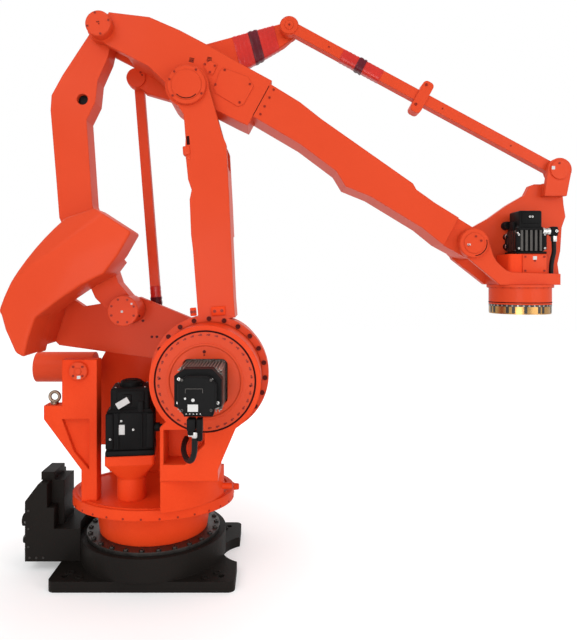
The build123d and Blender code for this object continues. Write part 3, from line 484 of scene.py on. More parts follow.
def makeScrewTree():
    # A socket head on every point of a cloud, turned as the point says
    tree = bpy.data.node_groups.new("screwField", "GeometryNodeTree")
    floats = ("Head Radius", "Head Height", "Socket Share", "Socket Depth")
    inside, outside = openTree(
        tree, [("Points", "Geometry"), *((name, "Float") for name in floats), ("Sides", "Int"),
               ("Finish", "Material")],
        [("Field", "Geometry")])
    shank = addNode(tree, "GeometryNodeMeshCylinder")
    rim = addNode(tree, "GeometryNodeExtrudeMesh", **{"Offset Scale": 0.0, "Individual": False})
    narrow = addNode(tree, "GeometryNodeScaleElements")
    sink = addNode(tree, "ShaderNodeMath")
    sink.operation = "MULTIPLY"
    sink.inputs[1].default_value = -1.0
    well = addNode(tree, "GeometryNodeExtrudeMesh", **{"Individual": False})
    facing = readFacing(tree)
    aim = addNode(tree, "FunctionNodeAlignRotationToVector")
    aim.axis = "Z"
    wire(tree, (inside, "Sides", shank, "Vertices"), (inside, "Head Radius", shank, "Radius"),
         (inside, "Head Height", shank, "Depth"), (shank, "Mesh", rim, "Mesh"),
         (shank, "Top", rim, "Selection"),
         (rim, "Mesh", narrow, "Geometry"), (rim, "Top", narrow, "Selection"),
         (inside, "Socket Share", narrow, "Scale"), (inside, "Socket Depth", sink, 0),
         (narrow, "Geometry", well, "Mesh"), (rim, "Top", well, "Selection"),
         (sink, "Value", well, "Offset Scale"),
         (facing, "Attribute", aim, "Vector"))
    return finishField(tree, inside, outside, well, "Mesh", aim)


def makeRibTree():
    # A bar on every point, lying along the run and standing up towards the point's facing
    tree = bpy.data.node_groups.new("ribField", "GeometryNodeTree")
    inside, outside = openTree(
        tree, [("Points", "Geometry"), ("Run", "Vector"), ("Bar Size", "Vector"), ("Finish", "Material")],
        [("Field", "Geometry")])
    bar = addNode(tree, "GeometryNodeMeshCube")
    facing = readFacing(tree)
    along = addNode(tree, "FunctionNodeAlignRotationToVector")
    along.axis = "X"
    upright = addNode(tree, "FunctionNodeAlignRotationToVector")
    upright.axis = "Z"
    upright.pivot_axis = "X"
    wire(tree, (inside, "Bar Size", bar, "Size"), (inside, "Run", along, "Vector"),
         (along, "Rotation", upright, "Rotation"), (facing, "Attribute", upright, "Vector"))
    return finishField(tree, inside, outside, bar, "Mesh", upright)


screwTree = makeScrewTree()
ribTree = makeRibTree()


def growField(name, tree, spots, values, look, body):
    # Runs a point tree once and keeps its result as a plain mesh; spots holds pairs of a place and a facing
    cloud = bpy.data.meshes.new(name + "Spots")
    cloud.from_pydata([place for place, facing in spots], [], [])
    facings = cloud.attributes.new("facing", "FLOAT_VECTOR", "POINT")
    facings.data.foreach_set("vector", [value for place, facing in spots for value in facing])
    carrier = addObject(name + "Carrier", cloud)
    modifier = carrier.modifiers.new("field", "NODES")
    modifier.node_group = tree
    for item in tree.interface.items_tree:
        if item.in_out == "INPUT" and item.name in values:
            modifier[item.identifier] = values[item.name]
    graph = bpy.context.evaluated_depsgraph_get()
    mesh = bpy.data.meshes.new_from_object(carrier.evaluated_get(graph))
    mesh.name = name
    bpy.data.objects.remove(carrier)
    return keepMesh(name, mesh, look, body)


def setRibs(name, body, look, spots, run, size):
    values = {"Run": run, "Bar Size": size, "Finish": finish[look]}
    return growField(name, ribTree, spots, values, look, body)


def setScrews(name, body, look, spots, radius, height, socket=0.55, depth=0.5, sides=12):
    # The middle of a screw's head sits on its place
    values = {"Head Radius": radius, "Head Height": height, "Socket Share": socket,
              "Socket Depth": depth * height, "Sides": sides, "Finish": finish[look]}
    return growField(name, screwTree, spots, values, look, body)


# Screws in the red screw finish, whose darker tone is painted shade
def paintScrews(name, body, spots, radius, height, socket=0.6, sides=12):
    return setScrews(name, body, "shadedRedScrew", spots, radius, height, socket, 0.45, sides)


def circleOf(centre, axis, radius, count, start=0.0):
    pose = axisPose(centre, axis)
    angles = [math.radians(start + k * 360 / count) for k in range(count)]
    return [(pose @ Vector((radius * math.cos(a), radius * math.sin(a), 0)), axis) for a in angles]


def frontSpots(places, y, pivot=origin):
    # Places on a layer that faces the viewer, counted from a pivot
    return [(Vector((pivot.x + x, y, pivot.z + z)), toViewer) for x, z in places]


def memberSpot(pivot, degrees, along, across, y):
    # A place on a member, along it from its pivot and across it in the view's plane
    turn = math.radians(degrees)
    return Vector((pivot.x + along * math.cos(turn) - across * math.sin(turn), y,
                   pivot.z + along * math.sin(turn) + across * math.cos(turn)))


def memberSpots(pivot, degrees, places, y):
    return [(memberSpot(pivot, degrees, along, across, y), toViewer) for along, across in places]


def ringOf(inner, outer, low, high):
    # A closed profile for a plain flat ring
    return [(inner, low), (outer, low), (outer, high), (inner, high), (inner, low)]


def squareOf(half):
    return [(-half, -half), (half, -half), (half, half), (-half, half)]


def cornerPosts(middle, half, low, high, *soft):
    return [((x - half, y - half, low), (x + half, y + half, high), *soft)
            for x, y, z in fourOf(middle, middle)]


def sideRibs(pose, out, height, places, bare=0.0):
    # Spots across a motor's four sides; the side towards the viewer stays bare near its middle
    turn = pose.to_3x3()
    spots = []
    for across in places:
        for x, y in ((1, 0), (-1, 0), (0, 1), (0, -1)):
            if y != -1 or abs(across) >= bare:
                place = Vector((x * out - y * across, y * out + x * across, height))
                spots.append((pose @ place, turn @ Vector((x, y, 0))))
    return spots


def posedSpots(pose, places, facing):
    return [(pose @ Vector(place), facing) for place in places]


# Motors on both ends of the shoulder, and the outlines that the one towards the viewer has
servo = {
    "half": 0.088, "length": 0.3570, "mount": 0.016, "coreShare": 0.84, "bellShare": 0.70,
    "bellEndShare": 0.88,
    "bellSize": 0.98, "lidSize": 0.80, "ribThickness": 0.0035, "ribPitch": 0.0115, "ribInset": 0.006,
    "screwShare": 0.84, "lidScrewShares": (0.60, 0.62),
    "bell": [(-0.088, -0.050), (-0.058, -0.062), (-0.052, -0.088), (0.055, -0.088), (0.062, -0.058),
             (0.088, -0.050), (0.088, 0.050), (0.052, 0.088), (-0.050, 0.088), (-0.088, 0.062)],
    "lid": [(-0.070, -0.044), (-0.044, -0.078), (0.044, -0.078), (0.070, -0.044), (0.070, 0.038),
            (0.040, 0.066),
            (-0.040, 0.066), (-0.070, 0.044)],
}


def makeServo(name, node, axis, bell=None, lid=None):
    # Mount plate, ribbed stator, end bell and encoder lid, from the mount towards the free end
    low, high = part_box(node)
    pose = axisPose((low + high) / 2 - axis * (high.y - low.y) / 2, axis)
    half, length, mount = servo["half"], servo["length"], servo["mount"]
    core, reach = half * servo["coreShare"], half - servo["ribInset"]
    bellStart, bellEnd = length * servo["bellShare"], length * servo["bellEndShare"]
    solidPiece(name + "Stator", "motorGrey", "turret", pose=pose, boxes=[
        ((-half, -half, 0), (half, half, mount), 0.006),
        ((-core, -core, mount), (core, core, bellStart), 0.004)])
    head = solidPiece(name + "Head", "motorBlack", "turret", pose=pose, prisms=[
        (bell or squareOf(half * servo["bellSize"]), bellStart, bellEnd, 0.004),
        (lid or squareOf(half * servo["lidSize"]), bellEnd, length, 0.006)])
    across = steps(-core, core, int(2 * core / servo["ribPitch"]) + 1)
    spots = sideRibs(pose, (core + reach) / 2, (mount + bellStart) / 2, across)
    size = (bellStart - mount, servo["ribThickness"], reach - core + 0.004)
    setRibs(name + "Ribs", "turret", "motorGrey", spots, axis, size)
    places = fourOf(half * servo["screwShare"], half * servo["screwShare"], mount + 0.003)
    setScrews(name + "Screws", "turret", "zincSteel", posedSpots(pose, places, axis), 0.0065, 0.008)
    shareX, shareY = servo["lidScrewShares"]
    places = fourOf(half * shareX, half * shareY, length)
    setScrews(name + "LidScrews", "turret", "darkScrew", posedSpots(pose, places, axis), 0.005, 0.005)
    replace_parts(head, node)


makeServo("shoulderServo", "shoulder_motor", toViewer, servo["bell"], servo["lid"])
makeServo("crankServo", "crank_motor", fromViewer)
print("servo motors on the shoulder")

# Circles of screws are a radius, a count and the first screw's angle
hubDress = {
    "armBolts": (0.245, 23, 153.1), "coverScrews": (0.192, 36, 5), "coverPins": (0.191, 36, 7.3),
    "ridge": 0.157, "seam": 0.2065,
}
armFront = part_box("lower_arm")[0].y
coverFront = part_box("shoulder_cover")[0].y
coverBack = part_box("crank_cover")[1].y


def dressHub(name, y, axis):
    centre = onLayer(shoulder, y)
    spots = circleOf(centre, axis, *hubDress["coverScrews"])
    paintScrews(name + "CoverScrews", "turret", spots, 0.0048, 0.004)
    spots = circleOf(centre, axis, *hubDress["coverPins"])
    paintScrews(name + "CoverPins", "turret", spots, 0.003, 0.003, 0.7, 8)
    step, edge = hubDress["ridge"], hubDress["seam"]
    turnedPiece(name + "CoverRidge", "orangePaint", "turret", centre, axis, [
        (step, -0.004), (step, 0.0035), (step - 0.004, 0.0045), (step - 0.009, 0.0045), (step - 0.013, 0.0),
        (step - 0.013, -0.004), (step, -0.004)], 72)
    turnedPiece(name + "CoverSeam", "seamShadow", "turret", centre, axis, [
        (edge - 0.0035, -0.02), (edge - 0.0035, 0.0012), (edge + 0.0035, 0.0012), (edge + 0.0035, -0.02)],
        96)


dressHub("shoulder", coverFront, toViewer)
dressHub("crank", coverBack, fromViewer)
# Hub bolts, dark with painted shade of their recesses
spots = circleOf(onLayer(shoulder, armFront - 0.002), toViewer, *hubDress["armBolts"])
setScrews("armHubBolts", "lower_arm", "boltRecessShade", spots, 0.0105, 0.006, 0.68, 0.4, 16)
print("shoulder hub dressed")

yawServo = {
    "spin": 8, "foot": 0.103, "footHeight": 0.024, "body": 0.096, "bodyTop": 0.186, "post": 0.017,
    "postOut": 0.1015,
    "postStart": 0.03, "head": 0.083, "headStart": 0.196, "headTop": 0.286, "capRadius": 0.048,
    "ribs": (-0.049, 0.049, 5), "ribHeight": 0.106, "ribSize": (0.150, 0.006, 0.010), "bareHalf": 0.03,
    # panels on the head, each from x, z to x, z with how far it stands out and how far it is sunk
    "panels": [(-0.056, 0.204, 0.060, 0.276, 0.006, 0.004, 0.004),
               (-0.030, 0.216, 0.006, 0.262, 0.012, 0.0, 0.004),
               (0.030, 0.150, 0.058, 0.232, 0.011, 0.004, 0.005)],
    "screwOut": 0.084, "headScrewShare": 0.74, "postScrew": (-0.082, 0.075),
    "bodyScrews": [(0.014, 0.112), (-0.036, 0.150)],
    "plate": (-0.049, -0.021, 0.092, 0.134), "tagTurn": 30, "tagPlace": (-0.030, 0.0155, 0.226),
    "tagHalf": (0.028, 0.014),
}


def makeYawServo():
    # Slew motor: foot, four corner posts round a ribbed body, narrower head and a round cap
    low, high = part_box("yaw_motor")
    middle = (low + high) / 2
    spin = Matrix.Rotation(math.radians(yawServo["spin"]), 4, "Z")
    pose = Matrix.Translation((middle.x, middle.y, low.z)) @ spin
    foot, body, head, rim = (yawServo[part] for part in ("foot", "body", "head", "capRadius"))
    top, post, out, headTop = (yawServo[part] for part in ("bodyTop", "post", "postOut", "headTop"))
    boxes = [((-foot, -foot, 0), (foot, foot, yawServo["footHeight"]), 0.006),
             ((-body, -body, yawServo["footHeight"]), (body, body, top), 0.005),
             ((-head, -head, top), (head, head, headTop), 0.012, 3),
             ((-0.050, -0.030, headTop), (0.050, 0.052, headTop + 0.010), 0.003)]
    boxes += cornerPosts(out - post, post, yawServo["postStart"], top - 0.004, 0.006, 3)
    boxes += [((x0, -head - proud, z0), (x1, -head + sunk, z1), soft)
              for x0, z0, x1, z1, proud, sunk, soft in yawServo["panels"]]
    cap = [(0, 0.0), (rim, 0.0), (rim, 0.017), (rim - 0.006, 0.023), (0.030, 0.023), (0.030, 0.027),
           (0, 0.027)]
    piece = solidPiece("yawServo", "motorBlack", "turret", boxes,
                       [(squareOf(body), top, yawServo["headStart"], 0.013)],
                       [((0, 0, headTop), upward, cap, 28)], pose)
    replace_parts(piece, "yaw_motor")
    spots = sideRibs(pose, body + 0.001, yawServo["ribHeight"], steps(*yawServo["ribs"]),
                     yawServo["bareHalf"])
    setRibs("yawServoRibs", "turret", "motorBlack", spots, upward, yawServo["ribSize"])
    corner, share = yawServo["screwOut"], yawServo["headScrewShare"]
    spots = posedSpots(pose, fourOf(corner, corner, top - 0.002), upward)
    spots += posedSpots(pose, fourOf(corner * share, corner * share, headTop), upward)
    x, z = yawServo["postScrew"]
    places = [(x, -out, z)] + [(x, -body, z) for x, z in yawServo["bodyScrews"]]
    spots += posedSpots(pose, places, pose.to_3x3() @ toViewer)
    setScrews("yawServoScrews", "turret", "zincSteel", spots, 0.0045, 0.006)
    x0, x1, z0, z1 = yawServo["plate"]
    (x, proud, z), (wide, tall) = yawServo["tagPlace"], yawServo["tagHalf"]
    tagPose = pose @ Matrix.Translation((x, -head - proud, z))
    tagPose = tagPose @ Matrix.Rotation(math.radians(-yawServo["tagTurn"]), 4, "Y")
    bm = bmesh.new()
    roundedBox(bm, pose, (x0, -body - 0.003, z0), (x1, -body - 0.0012, z1), 0.0004, 1)
    roundedBox(bm, tagPose, (-wide, -0.001, -tall), (wide, 0.001, tall), 0.0006, 1)
    makePiece("yawServoPlates", bm, "barePlateAndGlint", "turret")


makeYawServo()

toolServo = {
    "shift": 0.002, "half": 0.070, "core": 0.060, "coreSpan": (0.012, 0.112), "post": 0.010,
    "postSpan": (0.020, 0.094),
    "ribs": (-0.043, 0.043, 5), "ribHeight": 0.062, "ribSize": (0.094, 0.011, 0.012),
    "head": 0.0525, "shoulderSpan": (0.104, 0.130), "headTop": 0.199, "headScrews": (0.006, 0.170),
    "screwOut": 0.059, "screwTop": 0.096, "sideScrews": (0.026, 0.088),
}


def makeToolServo():
    low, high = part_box("tool_motor")
    middle = (low + high) / 2
    pose = Matrix.Translation((middle.x + toolServo["shift"], middle.y, low.z))
    half, core, head, post, corner = (toolServo[part]
                                      for part in ("half", "core", "head", "post", "screwOut"))
    coreLow, coreTop = toolServo["coreSpan"]
    boxes = [((-half, -half, 0), (half, half, coreLow), 0.004),
             ((-core, -core, coreLow), (core, core, coreTop), 0.004)]
    boxes += cornerPosts(half - post, post, *toolServo["postSpan"], 0.004, 2)
    solidPiece("toolServoStator", "motorBlack", "wrist", boxes, pose=pose)
    outline = [(-core, -head), (-head, -core), (head, -core), (core, -head), (core, head), (head, core),
               (-head, core), (-core, head)]
    boxes = [((-head, -head - 0.006, 0.12), (head, head + 0.006, toolServo["headTop"]), 0.008, 3),
             ((-head + 0.012, -head - 0.010, 0.14), (head - 0.012, -head, 0.19), 0.003),
             ((head - 0.01, -0.012, 0.160), (head + 0.016, 0.020, 0.184), 0.005),
             ((-core - 0.006, -0.024, 0.096), (-head, 0.024, 0.150), 0.004)]
    piece = solidPiece("toolServoHead", "motorBlack", "wrist", boxes,
                       [(outline, *toolServo["shoulderSpan"], 0.010)],
                       pose=pose)
    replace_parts(piece, "tool_motor")
    spots = sideRibs(pose, core + 0.001, toolServo["ribHeight"], steps(*toolServo["ribs"]))
    setRibs("toolServoRibs", "wrist", "darkScrew", spots, upward, toolServo["ribSize"])
    spots = posedSpots(pose, fourOf(corner, corner, toolServo["screwTop"]), upward)
    x, height = toolServo["headScrews"]
    places = [(side * corner, -half, z) for side in (-1, 1) for z in toolServo["sideScrews"]]
    places += [(side * x, -head - 0.010, height) for side in (-1, 1)]
    spots += posedSpots(pose, places, toViewer)
    setScrews("toolServoScrews", "wrist", "zincSteel", spots, 0.0045, 0.008)


makeToolServo()

# Shapes of the plugs, counted from the middle over the cable and from the middle of the shoulder plug's foot
toolPlug = {
    "cableShare": 0.75, "screw": (0.004, -0.0195, 0.001),
    "body": [((-0.019, -0.018, -0.022), (0.0135, 0.018, 0.022), 0.007, 3),
             ((-0.004, -0.0195, -0.010), (0.0138, 0.0195, 0.012), 0.003)],
    "collar": [(0, 0), (0.019, 0), (0.019, 0.008), (0.015, 0.010), (0.015, 0.020), (0.017, 0.022),
               (0.017, 0.034),
               (0, 0.034)],
    "nut": [(0, -0.022), (0.0125, -0.022), (0.0145, -0.018), (0.0145, 0.006), (0, 0.006)],
}
shoulderPlug = {
    "body": [((-0.028, -0.022, 0.018), (0.004, 0.022, 0.062), 0.005, 3),
             ((0.006, -0.020, 0.010), (0.029, 0.020, 0.062), 0.005, 3)],
    "ends": [((-0.012, 0, 0.020), downward,
              [(0, 0), (0.0155, 0), (0.0155, 0.016), (0.0125, 0.020), (0, 0.020)], 24),
             ((0.0175, 0, 0.012), downward, [(0, 0), (0.011, 0), (0.011, 0.030), (0.008, 0.034), (0, 0.034)],
              20)],
    "nuts": [((-0.012, 0, 0.006), downward, [(0, 0), (0.0135, 0), (0.0135, 0.010), (0, 0.010)], 6),
             (origin, downward, [(0, -0.012), (0.014, -0.012), (0.014, 0.004), (0.012, 0.010), (0, 0.010)],
              20)],
}


def makePlugs():
    # On the tool motor a metal collar, a black elbow and the nut over the cable
    low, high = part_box("tool_plug")
    x, y, z = low.x + toolPlug["cableShare"] * (high.x - low.x), (low.y + high.y) / 2, (low.z + high.z) / 2
    solidPiece("toolPlugCollar", "zincSteel", "wrist", lathes=[
        ((low.x - 0.012, y, z), toFront, toolPlug["collar"], 28),
        ((x, y, low.z - 0.0002), upward, toolPlug["nut"], 6)])
    pose = Matrix.Translation((x, y, z))
    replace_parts(solidPiece("toolPlugBody", "motorBlack", "wrist", toolPlug["body"], pose=pose), "tool_plug")
    spots = posedSpots(pose, [toolPlug["screw"]], toViewer)
    setScrews("toolPlugScrews", "wrist", "zincSteel", spots, 0.0065, 0.004)
    # Two plugs under the shoulder motor, whose cable runs into the cheek's window
    low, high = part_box("shoulder_plug")
    pose = Matrix.Translation(((low.x + high.x) / 2, (low.y + high.y) / 2, low.z))
    piece = solidPiece("shoulderPlugBody", "motorBlack", "turret", shoulderPlug["body"], (),
                       shoulderPlug["ends"], pose)
    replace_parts(piece, "shoulder_plug")
    solidPiece("shoulderPlugNuts", "zincSteel", "turret", lathes=shoulderPlug["nuts"], pose=pose)


makePlugs()
print("slew and tool motors with their plugs")


def routeOf(start, scale, shares):
    return [Vector(start) + Vector((x * scale[0], y * scale[1], z * scale[2])) for x, y, z in shares]


shoulderCable = {
    "radius": 0.011, "length": 0.48,
    "route": routeOf((0.261, -0.609, 0.7284), (0.126, 0.3887, 0.126), [
        (0, 0, 0), (0, 0, -0.45), (-0.10, 0.08, -0.80), (-0.30, 0.27, -1.02), (-0.52, 0.505, -1.03),
        (-0.635, 0.69, -0.97), (-0.667, 0.88, -0.9), (-0.667, 1.0, -0.9)]),
}
toolCable = {
    "radius": 0.010, "length": 0.171,
    "route": routeOf((1.834549, -0.044, 1.491149), (0.1694, 0.1694, 0.1694), [
        (0, 0, 0), (0, 0, -0.2), (0.006, -0.006, -0.42), (-0.054, -0.012, -0.62), (-0.08, -0.012, -0.81),
        (-0.08, -0.012, -1.0)]),
}


def layCable(name, node, body, cable):
    # The route's points are the spline's own control points
    data = bpy.data.curves.new(name, "CURVE")
    data.dimensions = "3D"
    data.resolution_u = 10
    data.bevel_depth = cable["radius"]
    data.bevel_resolution = 5
    data.use_fill_caps = True
    spline = data.splines.new("NURBS")
    spline.points.add(len(cable["route"]) - 1)
    for point, place in zip(spline.points, cable["route"]):
        point.co = (*place, 1.0)
    spline.order_u = 3
    spline.use_endpoint_u = True
    data.materials.append(finish["cableSheath"])
    piece = addObject(name, data)
    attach(piece, body)
    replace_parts(piece, node)


layCable("shoulderCable", "shoulder_lead", "turret", shoulderCable)
layCable("toolCable", "tool_lead", "wrist", toolCable)
print("cables laid")


def arcBand(bm, centre, inner, outer, start, end, low, high, sides=24):
    # Part of a flat ring facing the viewer, its angles counted from the right and up
    rings = []
    for angle in steps(math.radians(start), math.radians(end), sides + 1):
        corners = ((inner, low), (outer, low), (outer, high), (inner, high))
        rings.append([(radius * math.cos(angle), radius * math.sin(angle), z) for radius, z in corners])
    closedShell(bm, frontPose(centre), rings)


# Each cap stands on a node's front, or on a layer of its own, and may have a raised middle and a dark crescent
# of painted shade
postPlace = Vector((-0.293, 0, 0.900))
caps = {
    "forkCap": {"pivot": forkPin, "on": "fork_bolt", "body": "forearm", "radius": 0.0555, "height": 0.003,
                "screws": (0.048, (15, 106, 195, 283)), "middle": 0.0},
    "elbowCap": {"pivot": elbow, "on": "elbow_pin", "body": "lower_arm", "radius": 0.0845, "height": 0.003,
                 "screws": (0.077, (57, 133, 163, 219, 329)), "middle": 0.066, "shadeArc": (0.058, 225, 315)},
    "crankCap": {"pivot": crankPin, "on": "link_pin", "body": "link_pin", "radius": 0.068, "height": 0.003,
                 "screws": (0.054, (22, 67, 112, 157, 202, 247, 292, 337)), "middle": 0.0},
    "wristCap": {"pivot": wrist, "on": "wrist_pin", "body": "wrist", "radius": 0.064, "height": 0.003,
                 "screws": (0.030, (20, 80, 200)), "middle": 0.046, "shadeArc": (0.054, 275, 375)},
    "linkFootCap": {"pivot": linkFoot, "on": "upper_link", "body": "elbow_lever", "radius": 0.042,
                    "height": 0.005,
                    "screws": (0.0, (0,)), "middle": 0.021},
    "linkHeadCap": {"pivot": linkHead, "layer": 0.040, "body": "wrist", "radius": 0.046, "height": 0.007,
                    "screws": (0.030, (100,)), "middle": 0.0},
    "rodHeadCap": {"pivot": rodHead, "layer": 0.130, "body": "elbow_lever", "radius": 0.046, "height": 0.013,
                   "screws": (0.033, (20, 45)), "middle": 0.0},
    "postCap": {"pivot": postPlace, "on": "front_post", "body": "turret", "radius": 0.039, "height": 0.003,
                "screws": (0.028, (45, 135, 225, 315)), "middle": 0.015},
}
middleHeight = 0.004


def makeCap(name, cap):
    # A turned cover with a broken rim, its screws, its raised middle and a thin dark crescent on it that is
    # painted shade
    y = cap["layer"] if "layer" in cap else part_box(cap["on"])[0].y
    radius, height, middle = cap["radius"], cap["height"], cap["middle"]
    top = onLayer(cap["pivot"], y - height)
    lathes = [(onLayer(cap["pivot"], y), toViewer, [
        (0, -0.002), (radius, -0.002), (radius, height - 0.0015), (radius - 0.0015, height),
        (radius - 0.008, height),
        (0, height)], 48)]
    if middle:
        lathes.append((top, toViewer, [
            (0, -0.001), (middle, -0.001), (middle, 0.0025), (middle - 0.0015, middleHeight),
            (middle - 0.006, middleHeight), (0, middleHeight)], 40))
    solidPiece(name, "orangePaint", cap["body"], lathes=lathes, crease=20)

    def frontAt(out):
        return top + toViewer * (middleHeight if out < middle else 0.0)

    circle, angles = cap["screws"]
    spots = [circleOf(frontAt(circle), toViewer, circle, 1, angle)[0] for angle in angles]
    paintScrews(name + "Screws", cap["body"], spots, 0.0052, 0.005)
    # The crescent is a dark band of painted shade
    if "shadeArc" in cap:
        out, first, last = cap["shadeArc"]
        bm = bmesh.new()
        arcBand(bm, frontAt(out), out, out + 0.004, first, last, -0.002, 0.0005)
        makePiece(name + "ShadeArc", bm, "seamShadow", cap["body"])


for name, cap in caps.items():
    makeCap(name, cap)
print("caps on the pivots")

armAngle = 94.5
forearmAngle = -28.5
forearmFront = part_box("forearm_beam")[0].y

# Places along the forearm and across it, or for vents and marks beside and over the elbow
knuckle = {
    "screws": {
        "knuckle_cover": [(0.104, 0.152), (0.233, 0.150), (0.231, 0.056), (0.098, 0.075)],
        "cable_plate": [(0.013, 0.132), (0.056, 0.148), (0.050, 0.112)],
        "forearm_beam": [(0.338, 0.180), (0.338, 0.140), (0.338, 0.095), (0.338, 0.055)],
    },
    "marks": [(0.018, 0.126), (0.090, 0.126), (0.1005, 0.1225)],
    "vents": [(-0.013, 0.133), (0.066, 0.136)], "ventHalf": 0.011, "slats": 4, "slatShares": (0.2, 0.8),
    "ventLean": -12,
    "seam": (0.3118, 0.034, 0.186, 0.0015),
}


def dressKnuckle():
    spots = []
    for node, places in knuckle["screws"].items():
        spots += memberSpots(elbow, forearmAngle, places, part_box(node)[0].y)
    spots += frontSpots(knuckle["marks"], forearmFront, elbow)
    paintScrews("knuckleScrews", "forearm", spots, 0.0056, 0.005)
    # Two small louvred vents above the elbow
    half, slats = knuckle["ventHalf"], knuckle["slats"]
    bm = bmesh.new()
    for x, z in knuckle["vents"]:
        pose = frontPose(Vector((elbow.x + x, forearmFront, elbow.z)), knuckle["ventLean"])
        for k in range(slats):
            low, high = (z - half + 2 * half * (k + share) / slats for share in knuckle["slatShares"])
            roundedBox(bm, pose, (-half, low, -0.002), (half, high, 0.0008), 0.0004, 1)
    makePiece("knuckleVents", bm, "seamShadow", "forearm")
    along, low, high, half = knuckle["seam"]
    pose = frontPose(memberSpot(elbow, forearmAngle, along, 0.0, forearmFront), forearmAngle)
    solidPiece("knuckleSeam", "seamShadow", "forearm", [((-half, low, -0.004), (half, high, 0.0006), 0)],
               pose=pose)


dressKnuckle()

# Places from the shoulder: shares of the arm's length and of the blocks' reach, and metres for the lug
armDress = {
    "blocks": [(0.200, 0.232, -0.309, -0.098), (0.205, 0.234, 0.117, 0.21)], "blockReach": 0.300,
    "blockProud": 0.009, "lip": 0.2345, "slot": (1.012, 1.056, 0.004, 0.023),
    "lug": [(0.970, 1.010, 0.008, 0.040, 0.006), (0.948, 0.968, 0.006, 0.030, 0.002)],
}


def dressLowerArm():
    length, proud, reach = (elbow - shoulder).length, armDress["blockProud"], armDress["blockReach"]
    boxes, places = [], []
    for start, end, low, high in armDress["blocks"]:
        start, end, low, high = start * length, end * length, low * reach, high * reach
        boxes.append(((start, low, -armFront - 0.002), (end, high, -armFront + proud), 0.004))
        places += [((start + end) / 2, low + (high - low) * share) for share in (0.25, 0.75)]
    solidPiece("armHubBlocks", "castingPaintLowerLit", "lower_arm", boxes, pose=frontPose(shoulder, armAngle))
    spots = memberSpots(shoulder, armAngle, places, armFront - proud)
    paintScrews("armBlockScrews", "lower_arm", spots, 0.007, 0.007)
    # Raised lip round the hub, between the bolt circle and the cover
    lip = armDress["lip"]
    turnedPiece("armHubLip", "orangePaint", "lower_arm", onLayer(shoulder, armFront), toViewer, [
        (lip, -0.003), (lip, 0.0), (lip - 0.0015, 0.004), (lip - 0.003, 0.004), (lip - 0.003, -0.003),
        (lip, -0.003)], 96)
    # Clamp lug in the notch of the arm's rear edge
    pose = frontPose(onLayer(shoulder, armFront), armAngle)
    boxes = [((start, low, -0.040), (end, high, out), 0.005)
             for start, end, low, high, out in armDress["lug"]]
    solidPiece("armLug", "orangePaint", "lower_arm", boxes, pose=pose)
    start, end, low, high = armDress["slot"]
    solidPiece("armSlot", "seamShadow", "lower_arm", [((start, low, -0.030), (end, high, 0.0006), 0.004)],
               pose=pose)


dressLowerArm()
print("knuckle and lower arm dressed")

leverDress = {
    "layer": (0.130, 0.175), "archShare": 0.463, "archRise": 0.012, "headRadius": 0.066, "footRadius": 0.044,
    "rodRadius": 0.048, "pinRadius": 0.022, "footPin": (0.070, 0.175), "rodPin": (0.120, 0.215),
    "soften": 0.005,
    "lowerFront": [(0.075, 0.060), (0.2568, 0.1793), (0.4364, 0.2817)],
    "lowerRear": [(-0.237, 0.050), (-0.096, 0.009)],
}


def leverTop():
    # The arch's crest and the top of the link's foot, both from the elbow
    foot = linkFoot - elbow + upward * leverDress["footRadius"]
    rod = rodHead - elbow + upward * leverDress["rodRadius"]
    arch = rod + (foot - rod) * leverDress["archShare"] + upward * leverDress["archRise"]
    return (arch.x, arch.z), (foot.x, foot.z)


# The wrapped members, each with half its height where it is straight
wrapped = {
    "lever": {"body": "elbow_lever", "pivot": elbow, "angle": 15, "layer": (0.130, 0.175)},
    "link": {"body": "upper_link", "pivot": linkFoot, "angle": forearmAngle, "layer": (0.070, 0.120),
             "half": 0.026},
    "rod": {"body": "level_rod", "pivot": rodFoot, "angle": armAngle, "layer": (0.180, 0.215),
            "half": 0.023},
}
wraps = {
    # member, look, start and end along it from its pivot, and bulge
    "leverWrap": ("lever", "redWrap", 0.260, 0.467, 0.003),
    "leverStrap": ("lever", "darkBand", 0.338, 0.386, 0.006),
    "linkWrap": ("link", "redWrap", 0.285, 0.500, 0.003),
    "linkStrap": ("link", "darkBand", 0.369, 0.408, 0.006),
    "rodWrap": ("rod", "redWrap", 0.070, 0.262, 0.002), "rodStrap": ("rod", "darkBand", 0.166, 0.207, 0.004),
}
film = {"winding": 0.007, "corner": 0.006, "swell": (0.55, 0.45, 2.1), "lean": (0.0048, 0.9)}


def edgeAt(near, far, angle, along):
    # Height of a straight edge over the wrap's own line, at a station along it
    turn = math.radians(angle)
    (nearX, nearY), (farX, farY) = [
        (x * math.cos(turn) + z * math.sin(turn), z * math.cos(turn) - x * math.sin(turn))
        for x, z in (near, far)]
    return nearY + (farY - nearY) * (along - nearX) / (farX - nearX)


def wrapEdges(member, along):
    # Lower and upper edge, which on the lever run between its arch and the link's foot
    if "half" in member:
        return -member["half"], member["half"]
    return [edgeAt(near, far, member["angle"], along)
            for near, far in (leverDress["lowerFront"][1:], leverTop())]


def makeWrap(name, member, look, start, end, bulge):
    # Film wound round a member: a closed sleeve whose windings overlap a little
    front, back = member["layer"]
    least, more, swellPace = film["swell"]
    most, leanPace = film["lean"]
    count = max(4, int((end - start) / film["winding"]))
    rings = []
    for k, along in enumerate(steps(start, end, count + 1)):
        low, high = wrapEdges(member, along)
        swell = bulge * (least + more * abs(math.sin(k * swellPace)))
        lean = most * math.sin(k * leanPace)
        outline = []
        for x, y, sx, sy in ((low, 0, -1, 1), (high, 0, 1, 1), (high, front - back, 1, -1),
                             (low, front - back, -1, -1)):
            x, y = x + sx * swell, y + sy * swell
            corner = [(x, y - sy * film["corner"]), (x - sx * film["corner"], y)]
            outline += corner if sx * sy < 0 else reversed(corner)
        rings.append([(along + lean * (x - low), x, y) for x, y in outline])
    bm = bmesh.new()
    closedShell(bm, frontPose(onLayer(member["pivot"], front), member["angle"]), rings)
    makePiece(name, bm, look, member["body"], 50)


